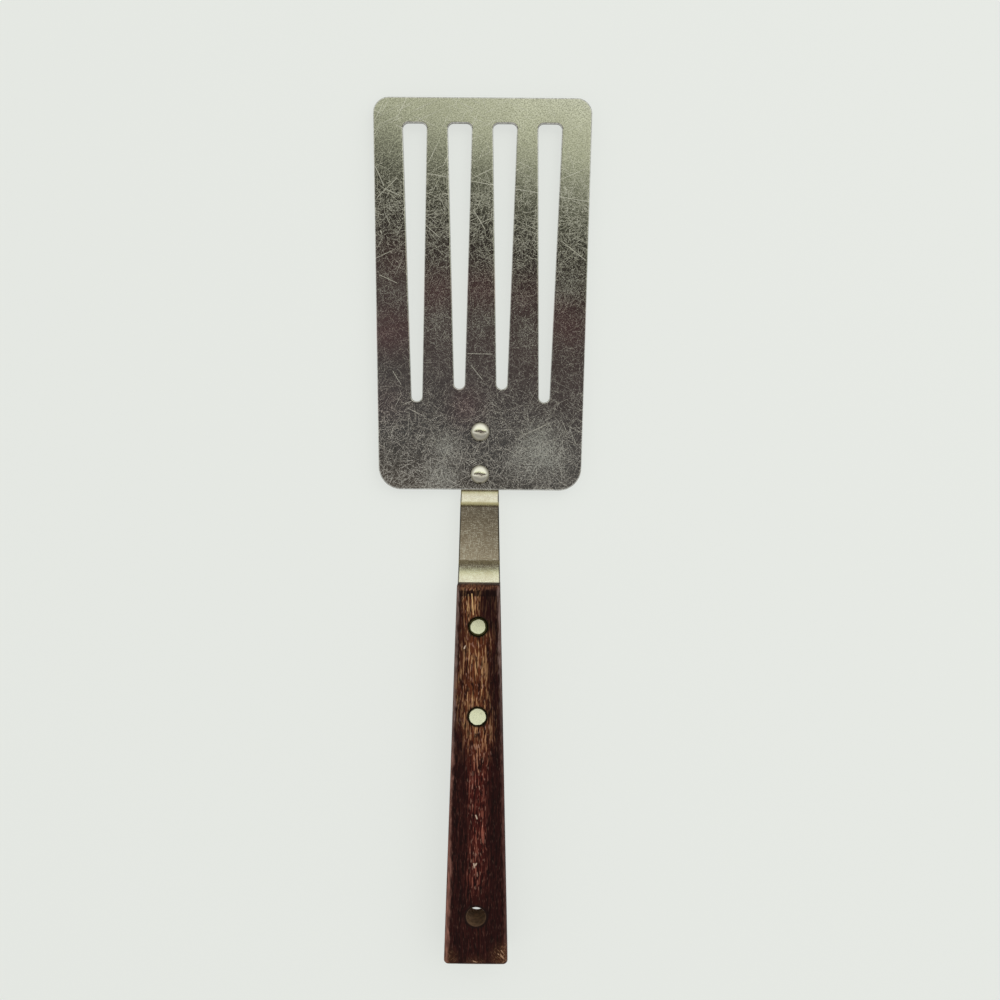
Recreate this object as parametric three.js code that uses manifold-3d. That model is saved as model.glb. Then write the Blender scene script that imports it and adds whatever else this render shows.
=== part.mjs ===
// A slotted kitchen turner. A slotted steel blade is riveted to a steel strip shank, which steps forward
// twice and ends as a half tang in a sawn slot in a one-piece wooden handle. Flush two-piece rivets hold it.
// Millimetres. +Y runs along the tool to the blade's tip, +Z comes out of the front face, +X is across.
// The tool lies on its back: the origin is under the middle of its length, level with what it lies on.
import * as THREE from "three";
import { mergeVertices } from "three/addons/utils/BufferGeometryUtils.js";
import Module from "manifold-3d";

// Blade
const BLADE_LENGTH = 136.5;
const BLADE_TIP_WIDTH = 76.4;
const BLADE_HEEL_WIDTH = 71.6;
const BLADE_THICKNESS = 1.2;
const BLADE_TIP_CORNER_RADIUS = 5.4;
const BLADE_HEEL_CORNER_RADIUS = 8;

// Slots, which taper and close up from the tip end to the heel end
const SLOT_COUNT = 4;
const SLOT_TIP_MARGIN = 8.9;
const SLOT_TIP_WIDTH = 8.4;
const SLOT_HEEL_WIDTH = 3.7;
const SLOT_TIP_PITCH = 15.73;
const SLOT_HEEL_PITCH = 14.98;
const SLOT_TIP_CORNER_RADIUS = 2;
const INNER_SLOT_LENGTH = 91.9;
const OUTER_SLOT_LENGTH = 96.4;

// Rivets through the blade and the shank
const BLADE_RIVET_HEEL_MARGIN = 5.5;
const BLADE_RIVET_PITCH = 15.1;
const BLADE_RIVET_STEM_DIAMETER = 3.5;
const BLADE_RIVET_HEAD_DIAMETER = 6.5;
const BLADE_RIVET_RIM_HEIGHT = 0.3;
const BLADE_RIVET_DOME_HEIGHT = 1.3;
const BLADE_RIVET_TAIL_DIAMETER = 6;
const BLADE_RIVET_TAIL_HEIGHT = 0.9;

// Shank
const SHANK_THICKNESS = 2;
const SHANK_REACH = 32.6;
const SHANK_FRONT_WIDTH = 12.1;
const SHANK_FRONT_MARGIN = 7;
const SHANK_FRONT_CORNER_RADIUS = 3;
const FIRST_STEP_RISE = 2;
const FIRST_STEP_RADIUS = 5.2;
const SECOND_STEP_REACH = 7.9;
const SECOND_STEP_OUTER_RADIUS = 22;
const SECOND_STEP_INNER_RADIUS = 6;
const TANG_END_MARGIN = 10;
const TANG_END_CORNER_RADIUS = 2;
const TANG_SIDE_INSET = 0.05;

// Handle
const HANDLE_LENGTH = 136.2;
const HANDLE_TOP_WIDTH = 15.1;
const HANDLE_BUTT_WIDTH = 22.8;
const HANDLE_THICKNESS = 14;
const HANDLE_EDGE_RADIUS = 1.5;
const HANDLE_CORNER_EASE = 0.2;

// Flush rivets through the handle and the tang
const HANDLE_RIVET_TOP_MARGIN = 14.65;
const HANDLE_RIVET_PITCH = 31.8;
const HANDLE_RIVET_HEAD_DIAMETER = 6.35;
const HANDLE_RIVET_HEAD_THICKNESS = 1.6;
const HANDLE_RIVET_STEM_DIAMETER = 3;
const HANDLE_RIVET_TUBE_WALL = 0.6;

// Hanging hole
const HANG_HOLE_BUTT_MARGIN = 17.8;
const HANG_HOLE_DIAMETER = 6.6;
const HANG_HOLE_RIM_RADIUS = 0.65;

// Fits and facets
const FIT_CLEARANCE = 0.3;
const CUT_OVERRUN = 5;
const MERGE_DISTANCE = 1e-4;
const CORNER_SEGMENTS = 6;
const TURNED_SEGMENTS = 32;
const BEND_SEGMENTS = 8;
const EDGE_SEGMENTS = 4;

// Places along the tool, measured from the blade's heel edge
const HEEL_Y = 0;
const TIP_Y = HEEL_Y + BLADE_LENGTH;
const BLADE_RIVET_LOWER_Y = HEEL_Y + BLADE_RIVET_HEEL_MARGIN;
const BLADE_RIVET_UPPER_Y = BLADE_RIVET_LOWER_Y + BLADE_RIVET_PITCH;
const SHANK_FRONT_Y = BLADE_RIVET_UPPER_Y + SHANK_FRONT_MARGIN;
const MOUTH_Y = HEEL_Y - SHANK_REACH;
const HANDLE_RIVET_UPPER_Y = MOUTH_Y - HANDLE_RIVET_TOP_MARGIN;
const HANDLE_RIVET_LOWER_Y = HANDLE_RIVET_UPPER_Y - HANDLE_RIVET_PITCH;
const TANG_END_Y = HANDLE_RIVET_LOWER_Y - TANG_END_MARGIN;
const BUTT_Y = MOUTH_Y - HANDLE_LENGTH;
const HANG_HOLE_Y = BUTT_Y + HANG_HOLE_BUTT_MARGIN;

// Heights, measured from the blade's front face. The handle's back is level with the blade rivets' tails,
// so the tool lies level, and the tang runs in the middle of the handle's thickness.
const BLADE_BACK_Z = -BLADE_THICKNESS;
const SHANK_BACK_Z = BLADE_BACK_Z - SHANK_THICKNESS;
const REST_Z = SHANK_BACK_Z - BLADE_RIVET_TAIL_HEIGHT;
const HANDLE_FRONT_Z = REST_Z + HANDLE_THICKNESS;
const LAP_Z = BLADE_BACK_Z - SHANK_THICKNESS / 2;
const FLAT_Z = LAP_Z + FIRST_STEP_RISE;
const TANG_Z = REST_Z + HANDLE_THICKNESS / 2;

const HANDLE_RIVET_TUBE_DIAMETER =
  HANDLE_RIVET_STEM_DIAMETER + 2 * (FIT_CLEARANCE + HANDLE_RIVET_TUBE_WALL);

const wasm = await Module();
wasm.setup();

// A closed geometry as a solid, with its shared vertices merged.
function toSolid(geometry) {
  const bare = geometry.index ? geometry.toNonIndexed() : geometry.clone();
  bare.deleteAttribute("normal");
  bare.deleteAttribute("uv");
  const merged = mergeVertices(bare, MERGE_DISTANCE);
  return new wasm.Manifold(
    new wasm.Mesh({
      numProp: 3,
      vertProperties: merged.attributes.position.array,
      triVerts: new Uint32Array(merged.index.array),
    }),
  );
}

// A solid as a geometry.
function toGeometry(solid) {
  const mesh = solid.getMesh();
  const geometry = new THREE.BufferGeometry();
  geometry.setAttribute("position", new THREE.BufferAttribute(mesh.vertProperties, 3));
  geometry.setIndex(new THREE.BufferAttribute(mesh.triVerts, 1));
  geometry.computeVertexNormals();
  return geometry;
}

// A geometry with cutters taken out of it.
function cut(geometry, cutters) {
  const solid = cutters.reduce((rest, cutter) => rest.subtract(toSolid(cutter)), toSolid(geometry));
  return toGeometry(solid);
}

// Adds a closed outline to a path through corners { x, y, radius }, the first of which has a radius.
// A corner is an arc tangent to its two sides, and no arc takes up more than half of a side.
function roundedOutline(path, corners) {
  corners.forEach((corner, index) => {
    if (corner.radius === 0) {
      path.lineTo(corner.x, corner.y);
      return;
    }
    const point = new THREE.Vector2(corner.x, corner.y);
    const previous = corners.at(index - 1);
    const next = corners[(index + 1) % corners.length];
    const back = new THREE.Vector2(previous.x, previous.y).sub(point);
    const ahead = new THREE.Vector2(next.x, next.y).sub(point);
    const room = Math.min(back.length(), ahead.length()) / 2 - MERGE_DISTANCE;
    back.normalize();
    ahead.normalize();
    const halfAngle = Math.acos(back.dot(ahead)) / 2;
    const inset = Math.min(corner.radius / Math.tan(halfAngle), room);
    const radius = inset * Math.tan(halfAngle);
    const start = point.clone().addScaledVector(back, inset);
    const end = point.clone().addScaledVector(ahead, inset);
    const toCentre = back.clone().add(ahead).normalize();
    const centre = point.clone().addScaledVector(toCentre, radius / Math.sin(halfAngle));
    const clockwise = back.cross(ahead) > 0;
    const from = start.sub(centre).angle();
    const to = end.sub(centre).angle();
    path.absarc(centre.x, centre.y, radius, from, to, clockwise);
  });
  path.closePath();
  return path;
}

// A flat plate of an outline in X and Y, between two heights.
function plate(shape, lowZ, highZ) {
  const geometry = new THREE.ExtrudeGeometry(shape, {
    depth: highZ - lowZ,
    bevelEnabled: false,
    curveSegments: CORNER_SEGMENTS,
  });
  return geometry.translate(0, 0, lowZ);
}

// A round hole through a plate's shape.
function roundHole(diameter, y) {
  return new THREE.Path().absarc(0, y, diameter / 2, 0, 2 * Math.PI, true);
}

// A solid turned about a line parallel to Z, from a profile of [radius, z] that goes up from axis to axis.
function turned(profile, y) {
  const points = profile.map(([radius, z]) => new THREE.Vector2(radius, z));
  const geometry = new THREE.LatheGeometry(points, TURNED_SEGMENTS);
  return geometry.rotateX(Math.PI / 2).translate(0, y, 0);
}

// A round bar parallel to Z, for cutting a hole.
function drill(diameter, y, lowZ, highZ) {
  const radius = diameter / 2;
  return turned([[0, lowZ], [radius, lowZ], [radius, highZ], [0, highZ]], y);
}

// Corners of a shape that is symmetrical about X = 0, from stations { y, width, radius } going down in Y.
function taperedCorners(stations) {
  const right = stations.map(({ y, width, radius }) => ({ x: width / 2, y, radius }));
  const left = stations.map(({ y, width, radius }) => ({ x: -width / 2, y, radius }));
  return [...left, ...right.reverse()];
}

// One slot: square with rounded corners at the tip end, round at the heel end.
function slotPath(position, length) {
  const tipY = TIP_Y - SLOT_TIP_MARGIN;
  const heelY = tipY - length;
  const heelRadius = SLOT_HEEL_WIDTH / 2;
  const ends = [
    { x: position * SLOT_TIP_PITCH, y: tipY, width: SLOT_TIP_WIDTH, radius: SLOT_TIP_CORNER_RADIUS },
    { x: position * SLOT_HEEL_PITCH, y: heelY, width: SLOT_HEEL_WIDTH, radius: heelRadius },
  ];
  const left = ends.map(({ x, y, width, radius }) => ({ x: x - width / 2, y, radius }));
  const right = ends.map(({ x, y, width, radius }) => ({ x: x + width / 2, y, radius }));
  return roundedOutline(new THREE.Path(), [...right, ...left.reverse()]);
}

function bladeGeometry() {
  const outline = taperedCorners([
    { y: TIP_Y, width: BLADE_TIP_WIDTH, radius: BLADE_TIP_CORNER_RADIUS },
    { y: HEEL_Y, width: BLADE_HEEL_WIDTH, radius: BLADE_HEEL_CORNER_RADIUS },
  ]);
  const shape = roundedOutline(new THREE.Shape(), outline);
  for (let index = 0; index < SLOT_COUNT; index++) {
    const outermost = index === 0 || index === SLOT_COUNT - 1;
    const position = index - (SLOT_COUNT - 1) / 2;
    shape.holes.push(slotPath(position, outermost ? OUTER_SLOT_LENGTH : INNER_SLOT_LENGTH));
  }
  const stemHole = BLADE_RIVET_STEM_DIAMETER + 2 * FIT_CLEARANCE;
  shape.holes.push(roundHole(stemHole, BLADE_RIVET_UPPER_Y), roundHole(stemHole, BLADE_RIVET_LOWER_Y));
  return plate(shape, BLADE_BACK_Z, 0);
}

// The slope in the middle of an S-bend of two arcs that rises by a given height.
function steepestSlope(rise, firstRadius, secondRadius) {
  return Math.acos(1 - Math.abs(rise) / (firstRadius + secondRadius));
}

// Stations { y, z, slope } of an S-bend in the strip's centre line, going down in Y.
// It curves up at firstRadius to its steepest slope, and back to level at secondRadius.
function sBend(startY, startZ, rise, firstRadius, secondRadius) {
  const way = Math.sign(rise);
  const steepest = steepestSlope(rise, firstRadius, secondRadius);
  const endY = startY - (firstRadius + secondRadius) * Math.sin(steepest);
  const endZ = startZ + rise;
  const stations = [];
  for (let step = 0; step <= BEND_SEGMENTS; step++) {
    const slope = (steepest * step) / BEND_SEGMENTS;
    stations.push({
      y: startY - firstRadius * Math.sin(slope),
      z: startZ + way * firstRadius * (1 - Math.cos(slope)),
      slope: way * slope,
    });
  }
  for (let step = BEND_SEGMENTS - 1; step >= 0; step--) {
    const slope = (steepest * step) / BEND_SEGMENTS;
    stations.push({
      y: endY + secondRadius * Math.sin(slope),
      z: endZ - way * secondRadius * (1 - Math.cos(slope)),
      slope: way * slope,
    });
  }
  return stations;
}

// The second step, from the flat to the tang: it starts in front of the handle's mouth and ends inside it.
function secondStep() {
  const startY = MOUTH_Y + SECOND_STEP_REACH;
  return sBend(startY, FLAT_Z, TANG_Z - FLAT_Z, SECOND_STEP_OUTER_RADIUS, SECOND_STEP_INNER_RADIUS);
}

// The bent strip seen from the side, carried across X: lap, first step, flat, second step and tang.
function bentStrip(thickness, endY, width) {
  const stations = [
    { y: SHANK_FRONT_Y, z: LAP_Z, slope: 0 },
    ...sBend(HEEL_Y, LAP_Z, FIRST_STEP_RISE, FIRST_STEP_RADIUS, FIRST_STEP_RADIUS),
    ...secondStep(),
    { y: endY, z: TANG_Z, slope: 0 },
  ];
  const side = (offset) => ({ y, z, slope }) =>
    new THREE.Vector2(y + offset * Math.sin(slope), z + offset * Math.cos(slope));
  const front = stations.map(side(thickness / 2));
  const back = stations.map(side(-thickness / 2));
  const shape = new THREE.Shape([...front, ...back.reverse()]);
  const geometry = new THREE.ExtrudeGeometry(shape, { depth: width, bevelEnabled: false });
  const sideToTool = new THREE.Matrix4().makeBasis(
    new THREE.Vector3(0, 1, 0),
    new THREE.Vector3(0, 0, 1),
    new THREE.Vector3(1, 0, 0),
  );
  return geometry.translate(0, 0, -width / 2).applyMatrix4(sideToTool);
}

// The handle's width at a place along it.
function handleWidth(y) {
  return THREE.MathUtils.mapLinear(y, MOUTH_Y, BUTT_Y, HANDLE_TOP_WIDTH, HANDLE_BUTT_WIDTH);
}

// The strip cut to its plan outline: tapered up to the mouth, then following the handle's sides.
function shankGeometry() {
  const mouthWidth = handleWidth(MOUTH_Y) - 2 * TANG_SIDE_INSET;
  const endWidth = handleWidth(TANG_END_Y) - 2 * TANG_SIDE_INSET;
  const outline = taperedCorners([
    { y: SHANK_FRONT_Y, width: SHANK_FRONT_WIDTH, radius: SHANK_FRONT_CORNER_RADIUS },
    { y: MOUTH_Y, width: mouthWidth, radius: 0 },
    { y: TANG_END_Y, width: endWidth, radius: TANG_END_CORNER_RADIUS },
  ]);
  const lowZ = REST_Z - CUT_OVERRUN;
  const highZ = HANDLE_FRONT_Z + CUT_OVERRUN;
  const blank = toSolid(plate(roundedOutline(new THREE.Shape(), outline), lowZ, highZ));
  const strip = toSolid(bentStrip(SHANK_THICKNESS, TANG_END_Y, HANDLE_BUTT_WIDTH + 2 * CUT_OVERRUN));
  const stemHole = BLADE_RIVET_STEM_DIAMETER + 2 * FIT_CLEARANCE;
  const tubeHole = HANDLE_RIVET_TUBE_DIAMETER + 2 * FIT_CLEARANCE;
  return cut(toGeometry(strip.intersect(blank)), [
    drill(stemHole, BLADE_RIVET_UPPER_Y, lowZ, highZ),
    drill(stemHole, BLADE_RIVET_LOWER_Y, lowZ, highZ),
    drill(tubeHole, HANDLE_RIVET_UPPER_Y, lowZ, highZ),
    drill(tubeHole, HANDLE_RIVET_LOWER_Y, lowZ, highZ),
  ]);
}

// The stepped hole that a flush rivet sits in: a wide end for each head, and a narrow way for the tube.
function rivetHole(y) {
  const wide = HANDLE_RIVET_HEAD_DIAMETER / 2 + FIT_CLEARANCE;
  const narrow = HANDLE_RIVET_TUBE_DIAMETER / 2 + FIT_CLEARANCE;
  const backSeat = REST_Z + HANDLE_RIVET_HEAD_THICKNESS;
  const frontSeat = HANDLE_FRONT_Z - HANDLE_RIVET_HEAD_THICKNESS;
  const low = REST_Z - CUT_OVERRUN;
  const high = HANDLE_FRONT_Z + CUT_OVERRUN;
  const backHalf = [[0, low], [wide, low], [wide, backSeat], [narrow, backSeat]];
  const frontHalf = [[narrow, frontSeat], [wide, frontSeat], [wide, high], [0, high]];
  return turned([...backHalf, ...frontHalf], y);
}

// The hanging hole, with its rims rounded over at both faces.
function hangHole() {
  const bore = HANG_HOLE_DIAMETER / 2;
  const rim = bore + HANG_HOLE_RIM_RADIUS;
  const quarter = [...Array(EDGE_SEGMENTS + 1).keys()].map((step) => {
    const angle = (step / EDGE_SEGMENTS) * (Math.PI / 2);
    return [rim - HANG_HOLE_RIM_RADIUS * Math.sin(angle), HANG_HOLE_RIM_RADIUS * (1 - Math.cos(angle))];
  });
  const backRim = quarter.map(([radius, depth]) => [radius, REST_Z + depth]);
  const frontRim = quarter.map(([radius, depth]) => [radius, HANDLE_FRONT_Z - depth]).reverse();
  const low = REST_Z - CUT_OVERRUN;
  const high = HANDLE_FRONT_Z + CUT_OVERRUN;
  return turned([[0, low], [rim, low], ...backRim, ...frontRim, [rim, high], [0, high]], HANG_HOLE_Y);
}

function handleGeometry() {
  const cornerRadius = HANDLE_EDGE_RADIUS + HANDLE_CORNER_EASE;
  const outline = taperedCorners([
    { y: MOUTH_Y, width: HANDLE_TOP_WIDTH, radius: cornerRadius },
    { y: BUTT_Y, width: HANDLE_BUTT_WIDTH, radius: cornerRadius },
  ]);
  const block = new THREE.ExtrudeGeometry(roundedOutline(new THREE.Shape(), outline), {
    depth: HANDLE_THICKNESS - 2 * HANDLE_EDGE_RADIUS,
    bevelThickness: HANDLE_EDGE_RADIUS,
    bevelSize: HANDLE_EDGE_RADIUS,
    bevelOffset: -HANDLE_EDGE_RADIUS,
    bevelSegments: EDGE_SEGMENTS,
    curveSegments: CORNER_SEGMENTS,
  });
  block.translate(0, 0, REST_Z + HANDLE_EDGE_RADIUS);
  const slotThickness = SHANK_THICKNESS + 2 * FIT_CLEARANCE;
  return cut(block, [
    bentStrip(slotThickness, TANG_END_Y - FIT_CLEARANCE, HANDLE_BUTT_WIDTH + 2 * CUT_OVERRUN),
    rivetHole(HANDLE_RIVET_UPPER_Y),
    rivetHole(HANDLE_RIVET_LOWER_Y),
    hangHole(),
  ]);
}

// A solid rivet: set tail behind the shank, stem, and a domed head on a short rim on the blade's front.
function bladeRivetGeometry(y) {
  const head = BLADE_RIVET_HEAD_DIAMETER / 2;
  const stem = BLADE_RIVET_STEM_DIAMETER / 2;
  const tail = BLADE_RIVET_TAIL_DIAMETER / 2;
  const domeRadius = (head ** 2 + BLADE_RIVET_DOME_HEIGHT ** 2) / (2 * BLADE_RIVET_DOME_HEIGHT);
  const domeTop = BLADE_RIVET_RIM_HEIGHT + BLADE_RIVET_DOME_HEIGHT;
  const domeAngle = Math.asin(head / domeRadius);
  const dome = [...Array(CORNER_SEGMENTS + 1).keys()].map((step) => {
    const angle = domeAngle * (1 - step / CORNER_SEGMENTS);
    return [domeRadius * Math.sin(angle), domeTop - domeRadius * (1 - Math.cos(angle))];
  });
  const tailAndStem = [[0, REST_Z], [tail, REST_Z], [tail, SHANK_BACK_Z], [stem, SHANK_BACK_Z], [stem, 0]];
  return turned([...tailAndStem, [head, 0], ...dome], y);
}

// Front half of a flush rivet: a head level with the wood, and a solid stem that ends inside the tube.
function rivetFrontGeometry(y) {
  const head = HANDLE_RIVET_HEAD_DIAMETER / 2;
  const stem = HANDLE_RIVET_STEM_DIAMETER / 2;
  const seat = HANDLE_FRONT_Z - HANDLE_RIVET_HEAD_THICKNESS;
  const end = REST_Z + HANDLE_RIVET_HEAD_THICKNESS + FIT_CLEARANCE;
  const headProfile = [[head, seat], [head, HANDLE_FRONT_Z], [0, HANDLE_FRONT_Z]];
  return turned([[0, end], [stem, end], [stem, seat], ...headProfile], y);
}

// Back half of a flush rivet: a head level with the wood, and a tube that stops just under the front head.
function rivetBackGeometry(y) {
  const head = HANDLE_RIVET_HEAD_DIAMETER / 2;
  const outside = HANDLE_RIVET_TUBE_DIAMETER / 2;
  const inside = HANDLE_RIVET_STEM_DIAMETER / 2 + FIT_CLEARANCE;
  const seat = REST_Z + HANDLE_RIVET_HEAD_THICKNESS;
  const end = HANDLE_FRONT_Z - HANDLE_RIVET_HEAD_THICKNESS - FIT_CLEARANCE;
  const headProfile = [[0, REST_Z], [head, REST_Z], [head, seat]];
  const tubeProfile = [[outside, seat], [outside, end], [inside, end], [inside, seat], [0, seat]];
  return turned([...headProfile, ...tubeProfile], y);
}

const STEEL = { color: 0x8c8a82, metalness: 1, roughness: 0.38 };
const RIVET_STEEL = { color: 0xc9c7bc, metalness: 1, roughness: 0.22 };
const PALE_BRASS = { color: 0xd2d2a8, metalness: 1, roughness: 0.35 };
const DARK_WOOD = { color: 0x46281f, metalness: 0, roughness: 0.55 };

const turner = new THREE.Group();

function addPiece(name, geometry, finish) {
  const mesh = new THREE.Mesh(geometry, new THREE.MeshStandardMaterial(finish));
  mesh.name = name;
  turner.add(mesh);
}

addPiece("blade", bladeGeometry(), STEEL);
addPiece("shank", shankGeometry(), STEEL);
addPiece("handle", handleGeometry(), DARK_WOOD);
addPiece("blade_rivet_upper", bladeRivetGeometry(BLADE_RIVET_UPPER_Y), RIVET_STEEL);
addPiece("blade_rivet_lower", bladeRivetGeometry(BLADE_RIVET_LOWER_Y), RIVET_STEEL);
addPiece("handle_rivet_upper_front", rivetFrontGeometry(HANDLE_RIVET_UPPER_Y), PALE_BRASS);
addPiece("handle_rivet_upper_back", rivetBackGeometry(HANDLE_RIVET_UPPER_Y), PALE_BRASS);
addPiece("handle_rivet_lower_front", rivetFrontGeometry(HANDLE_RIVET_LOWER_Y), PALE_BRASS);
addPiece("handle_rivet_lower_back", rivetBackGeometry(HANDLE_RIVET_LOWER_Y), PALE_BRASS);
turner.position.set(0, -(TIP_Y + BUTT_Y) / 2, -REST_Z);

const part = new THREE.Group();
part.add(turner);

export default part;
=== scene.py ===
"""Looks of a slotted turner: a scratched steel blade, a bent shank, rivets and a dark wooden handle.

Every piece is a surface worked out with numpy in the part's frame, in metres: a section carried along
a path, an edge profile carried round an outline, or a profile turned about an axis.
"""
import math

import bmesh
import bpy
import numpy as np
from mathutils import Matrix, Vector
from mathutils.geometry import tessellate_polygon


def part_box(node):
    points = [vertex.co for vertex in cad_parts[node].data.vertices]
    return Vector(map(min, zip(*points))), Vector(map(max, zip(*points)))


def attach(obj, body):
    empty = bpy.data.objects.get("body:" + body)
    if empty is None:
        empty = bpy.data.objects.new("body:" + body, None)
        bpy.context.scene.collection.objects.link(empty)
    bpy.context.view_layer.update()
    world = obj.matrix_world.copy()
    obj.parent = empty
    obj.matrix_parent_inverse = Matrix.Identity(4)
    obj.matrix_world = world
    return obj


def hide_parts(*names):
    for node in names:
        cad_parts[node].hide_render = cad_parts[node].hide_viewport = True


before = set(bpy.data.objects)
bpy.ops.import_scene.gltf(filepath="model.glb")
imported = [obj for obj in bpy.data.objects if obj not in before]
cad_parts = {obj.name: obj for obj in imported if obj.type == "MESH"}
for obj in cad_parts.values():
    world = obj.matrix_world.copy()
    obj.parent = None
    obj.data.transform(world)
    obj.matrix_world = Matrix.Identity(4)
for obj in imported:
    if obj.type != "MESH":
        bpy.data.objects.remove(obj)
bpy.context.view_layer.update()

MM = 0.001


def colour(red, green, blue):
    """A colour as a screen shows it, from 0 to 255, as a shader's linear colour, by the sRGB curve."""
    shown = np.array([red, green, blue]) / 255
    linear = np.where(shown <= 0.04045, shown / 12.92, ((shown + 0.055) / 1.055) ** 2.4)
    return (*linear.tolist(), 1.0)


# Places that the solids give
BLADE_LOW, BLADE_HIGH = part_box("blade")
SHANK_LOW, SHANK_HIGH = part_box("shank")
HANDLE_LOW, HANDLE_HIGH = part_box("handle")
TIP_Y = BLADE_HIGH.y
HEEL_Y = BLADE_LOW.y
MOUTH_Y = HANDLE_HIGH.y
BUTT_Y = HANDLE_LOW.y
HANDLE_LENGTH = MOUTH_Y - BUTT_Y
HANDLE_THICKNESS = HANDLE_HIGH.z - HANDLE_LOW.z
BLADE_RIVETS = ("blade_rivet_upper", "blade_rivet_lower")
FRONT_RIVETS = ("handle_rivet_upper_front", "handle_rivet_lower_front")
BACK_RIVETS = ("handle_rivet_upper_back", "handle_rivet_lower_back")

# Blade
BLADE_TIP_WIDTH = 76.4 * MM
BLADE_HEEL_WIDTH = 71.6 * MM
BLADE_TIP_CORNER_RADIUS = 5.4 * MM
BLADE_HEEL_CORNER_RADIUS = 8.0 * MM
BLADE_FRONT_EDGE_RADIUS = 0.45 * MM
BLADE_BACK_EDGE_RADIUS = 0.12 * MM

# Slots
SLOT_COUNT = 4
SLOT_TIP_MARGIN = 8.9 * MM
SLOT_TIP_WIDTH = 8.4 * MM
SLOT_HEEL_WIDTH = 3.7 * MM
SLOT_TIP_PITCH = 15.73 * MM
SLOT_HEEL_PITCH = 14.98 * MM
SLOT_TIP_CORNER_RADIUS = 2.0 * MM
INNER_SLOT_LENGTH = 91.9 * MM
OUTER_SLOT_LENGTH = 96.4 * MM

# Blade rivets
BLADE_RIVET_STEM_DIAMETER = 3.5 * MM
BLADE_RIVET_TAIL_DIAMETER = 6.0 * MM
BLADE_RIVET_TAIL_CROWN = 0.25 * MM
BLADE_RIVET_TAIL_EDGE = 0.2 * MM
BLADE_RIVET_RIM_HEIGHT = 0.3 * MM
DOME_FLATNESS = 2.4
DOME_STEPS = 25

# Shank
SHANK_THICKNESS = 2.0 * MM
SHANK_FRONT_WIDTH = 12.1 * MM
SHANK_FRONT_CORNER_RADIUS = 3.0 * MM
SHANK_EDGE_RADIUS = 0.25 * MM
FIRST_STEP_RISE = 2.0 * MM
FIRST_STEP_RADIUS = 5.2 * MM
SECOND_STEP_REACH = 7.9 * MM
SECOND_STEP_OUTER_RADIUS = 22.0 * MM
SECOND_STEP_INNER_RADIUS = 6.0 * MM
TANG_END_CORNER_RADIUS = 2.0 * MM
TANG_SIDE_INSET = 0.05 * MM

# Handle
HANDLE_TOP_WIDTH = 15.1 * MM
HANDLE_BUTT_WIDTH = 22.8 * MM
HANDLE_EDGE_RADIUS = 1.6 * MM
HANDLE_END_RADIUS = 1.5 * MM
HANDLE_MOUTH_FRONT_RADIUS = 2.6 * MM
HANDLE_MOUTH_SIDE_RADIUS = 0.7 * MM
HANDLE_END_CORNER_RADIUS = 0.4 * MM
HANDLE_CROWN = 0.12 * MM

# Handle rivets and hanging hole
HANDLE_RIVET_HEAD_THICKNESS = 1.6 * MM
HANDLE_RIVET_STEM_DIAMETER = 3.0 * MM
HANDLE_RIVET_TUBE_DIAMETER = 4.8 * MM
HANDLE_RIVET_CROWN = 0.06 * MM
HANDLE_RIVET_RIM_RADIUS = 0.15 * MM
HANG_HOLE_Y = BUTT_Y + 17.8 * MM
HANG_HOLE_DIAMETER = 6.6 * MM
HANG_HOLE_RIM_RADIUS = 0.65 * MM

# Fits and fineness
FIT_CLEARANCE = 0.3 * MM
CUT_OVERRUN = 5.0 * MM
CUT_LOW, CUT_HIGH = HANDLE_LOW.z - CUT_OVERRUN, HANDLE_HIGH.z + CUT_OVERRUN
CORNER_STEPS = 17
EDGE_STEPS = 7
BEND_STEPS = 33
TURNED_STEPS = 72
FULL_TURN = np.linspace(0, 2 * np.pi, TURNED_STEPS, endpoint=False)
END_STATIONS = 1 - np.cos(np.linspace(0, np.pi / 2, CORNER_STEPS))
HANDLE_STATIONS = 46
END_RING_INSET = 0.1 * MM
FULL_CORNER = 0.9999
SHARP_ANGLE = math.radians(38)
FLAT_RUN = np.array([0.012, 0.1, 0.26, 0.42, 0.58, 0.74, 0.9, 0.988])

# Camera, measured from the photo: place in the part's frame, tilt, turn and roll
CAMERA_PLACE = Vector((8.47, 36.80, 387.86)) * MM
CAMERA_TILT = math.radians(3.601)
CAMERA_TURN = math.radians(-0.188)
CAMERA_ROLL = math.radians(0.501)
CAMERA_LENS = 38.99
CAMERA_SENSOR = 36.0
CAMERA_NEAR = 10.0 * MM

# Studio: the sky's colour by its tilt in degrees from overhead towards the tip, then the lamp and the floor
SKY = [
    (-90, 0.80, 0.80, 0.77),
    (-72, 0.80, 0.80, 0.77),
    (-50, 0.54, 0.54, 0.53),
    (-40, 0.52, 0.52, 0.51),
    (-26, 0.72, 0.72, 0.69),
    (-18, 0.97, 0.97, 0.93),
    (-11, 1.00, 1.00, 0.95),
    (-8.5, 0.66, 0.62, 0.55),
    (-6.5, 0.34, 0.285, 0.23),
    (-4.5, 0.105, 0.083, 0.064),
    (-1.5, 0.128, 0.132, 0.134),
    (1, 0.134, 0.122, 0.121),
    (3.5, 0.142, 0.108, 0.104),
    (6, 0.146, 0.104, 0.098),
    (8, 0.090, 0.065, 0.061),
    (9.5, 0.038, 0.030, 0.028),
    (10.5, 0.036, 0.031, 0.027),
    (11.8, 0.100, 0.099, 0.074),
    (13, 0.27, 0.280, 0.204),
    (14.2, 0.62, 0.647, 0.456),
    (15.2, 0.90, 0.945, 0.66),
    (16.5, 0.98, 1.02, 0.72),
    (19, 1.00, 1.03, 0.84),
    (24, 1.00, 1.02, 0.92),
    (74, 0.97, 0.97, 0.95),
    (90, 0.80, 0.80, 0.77),
]
SKY_LEAN = math.radians(3.2)
SKY_LEAN_REACH = math.radians(12)
SKY_SIDE = (0.80, 0.80, 0.77, 1)
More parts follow.
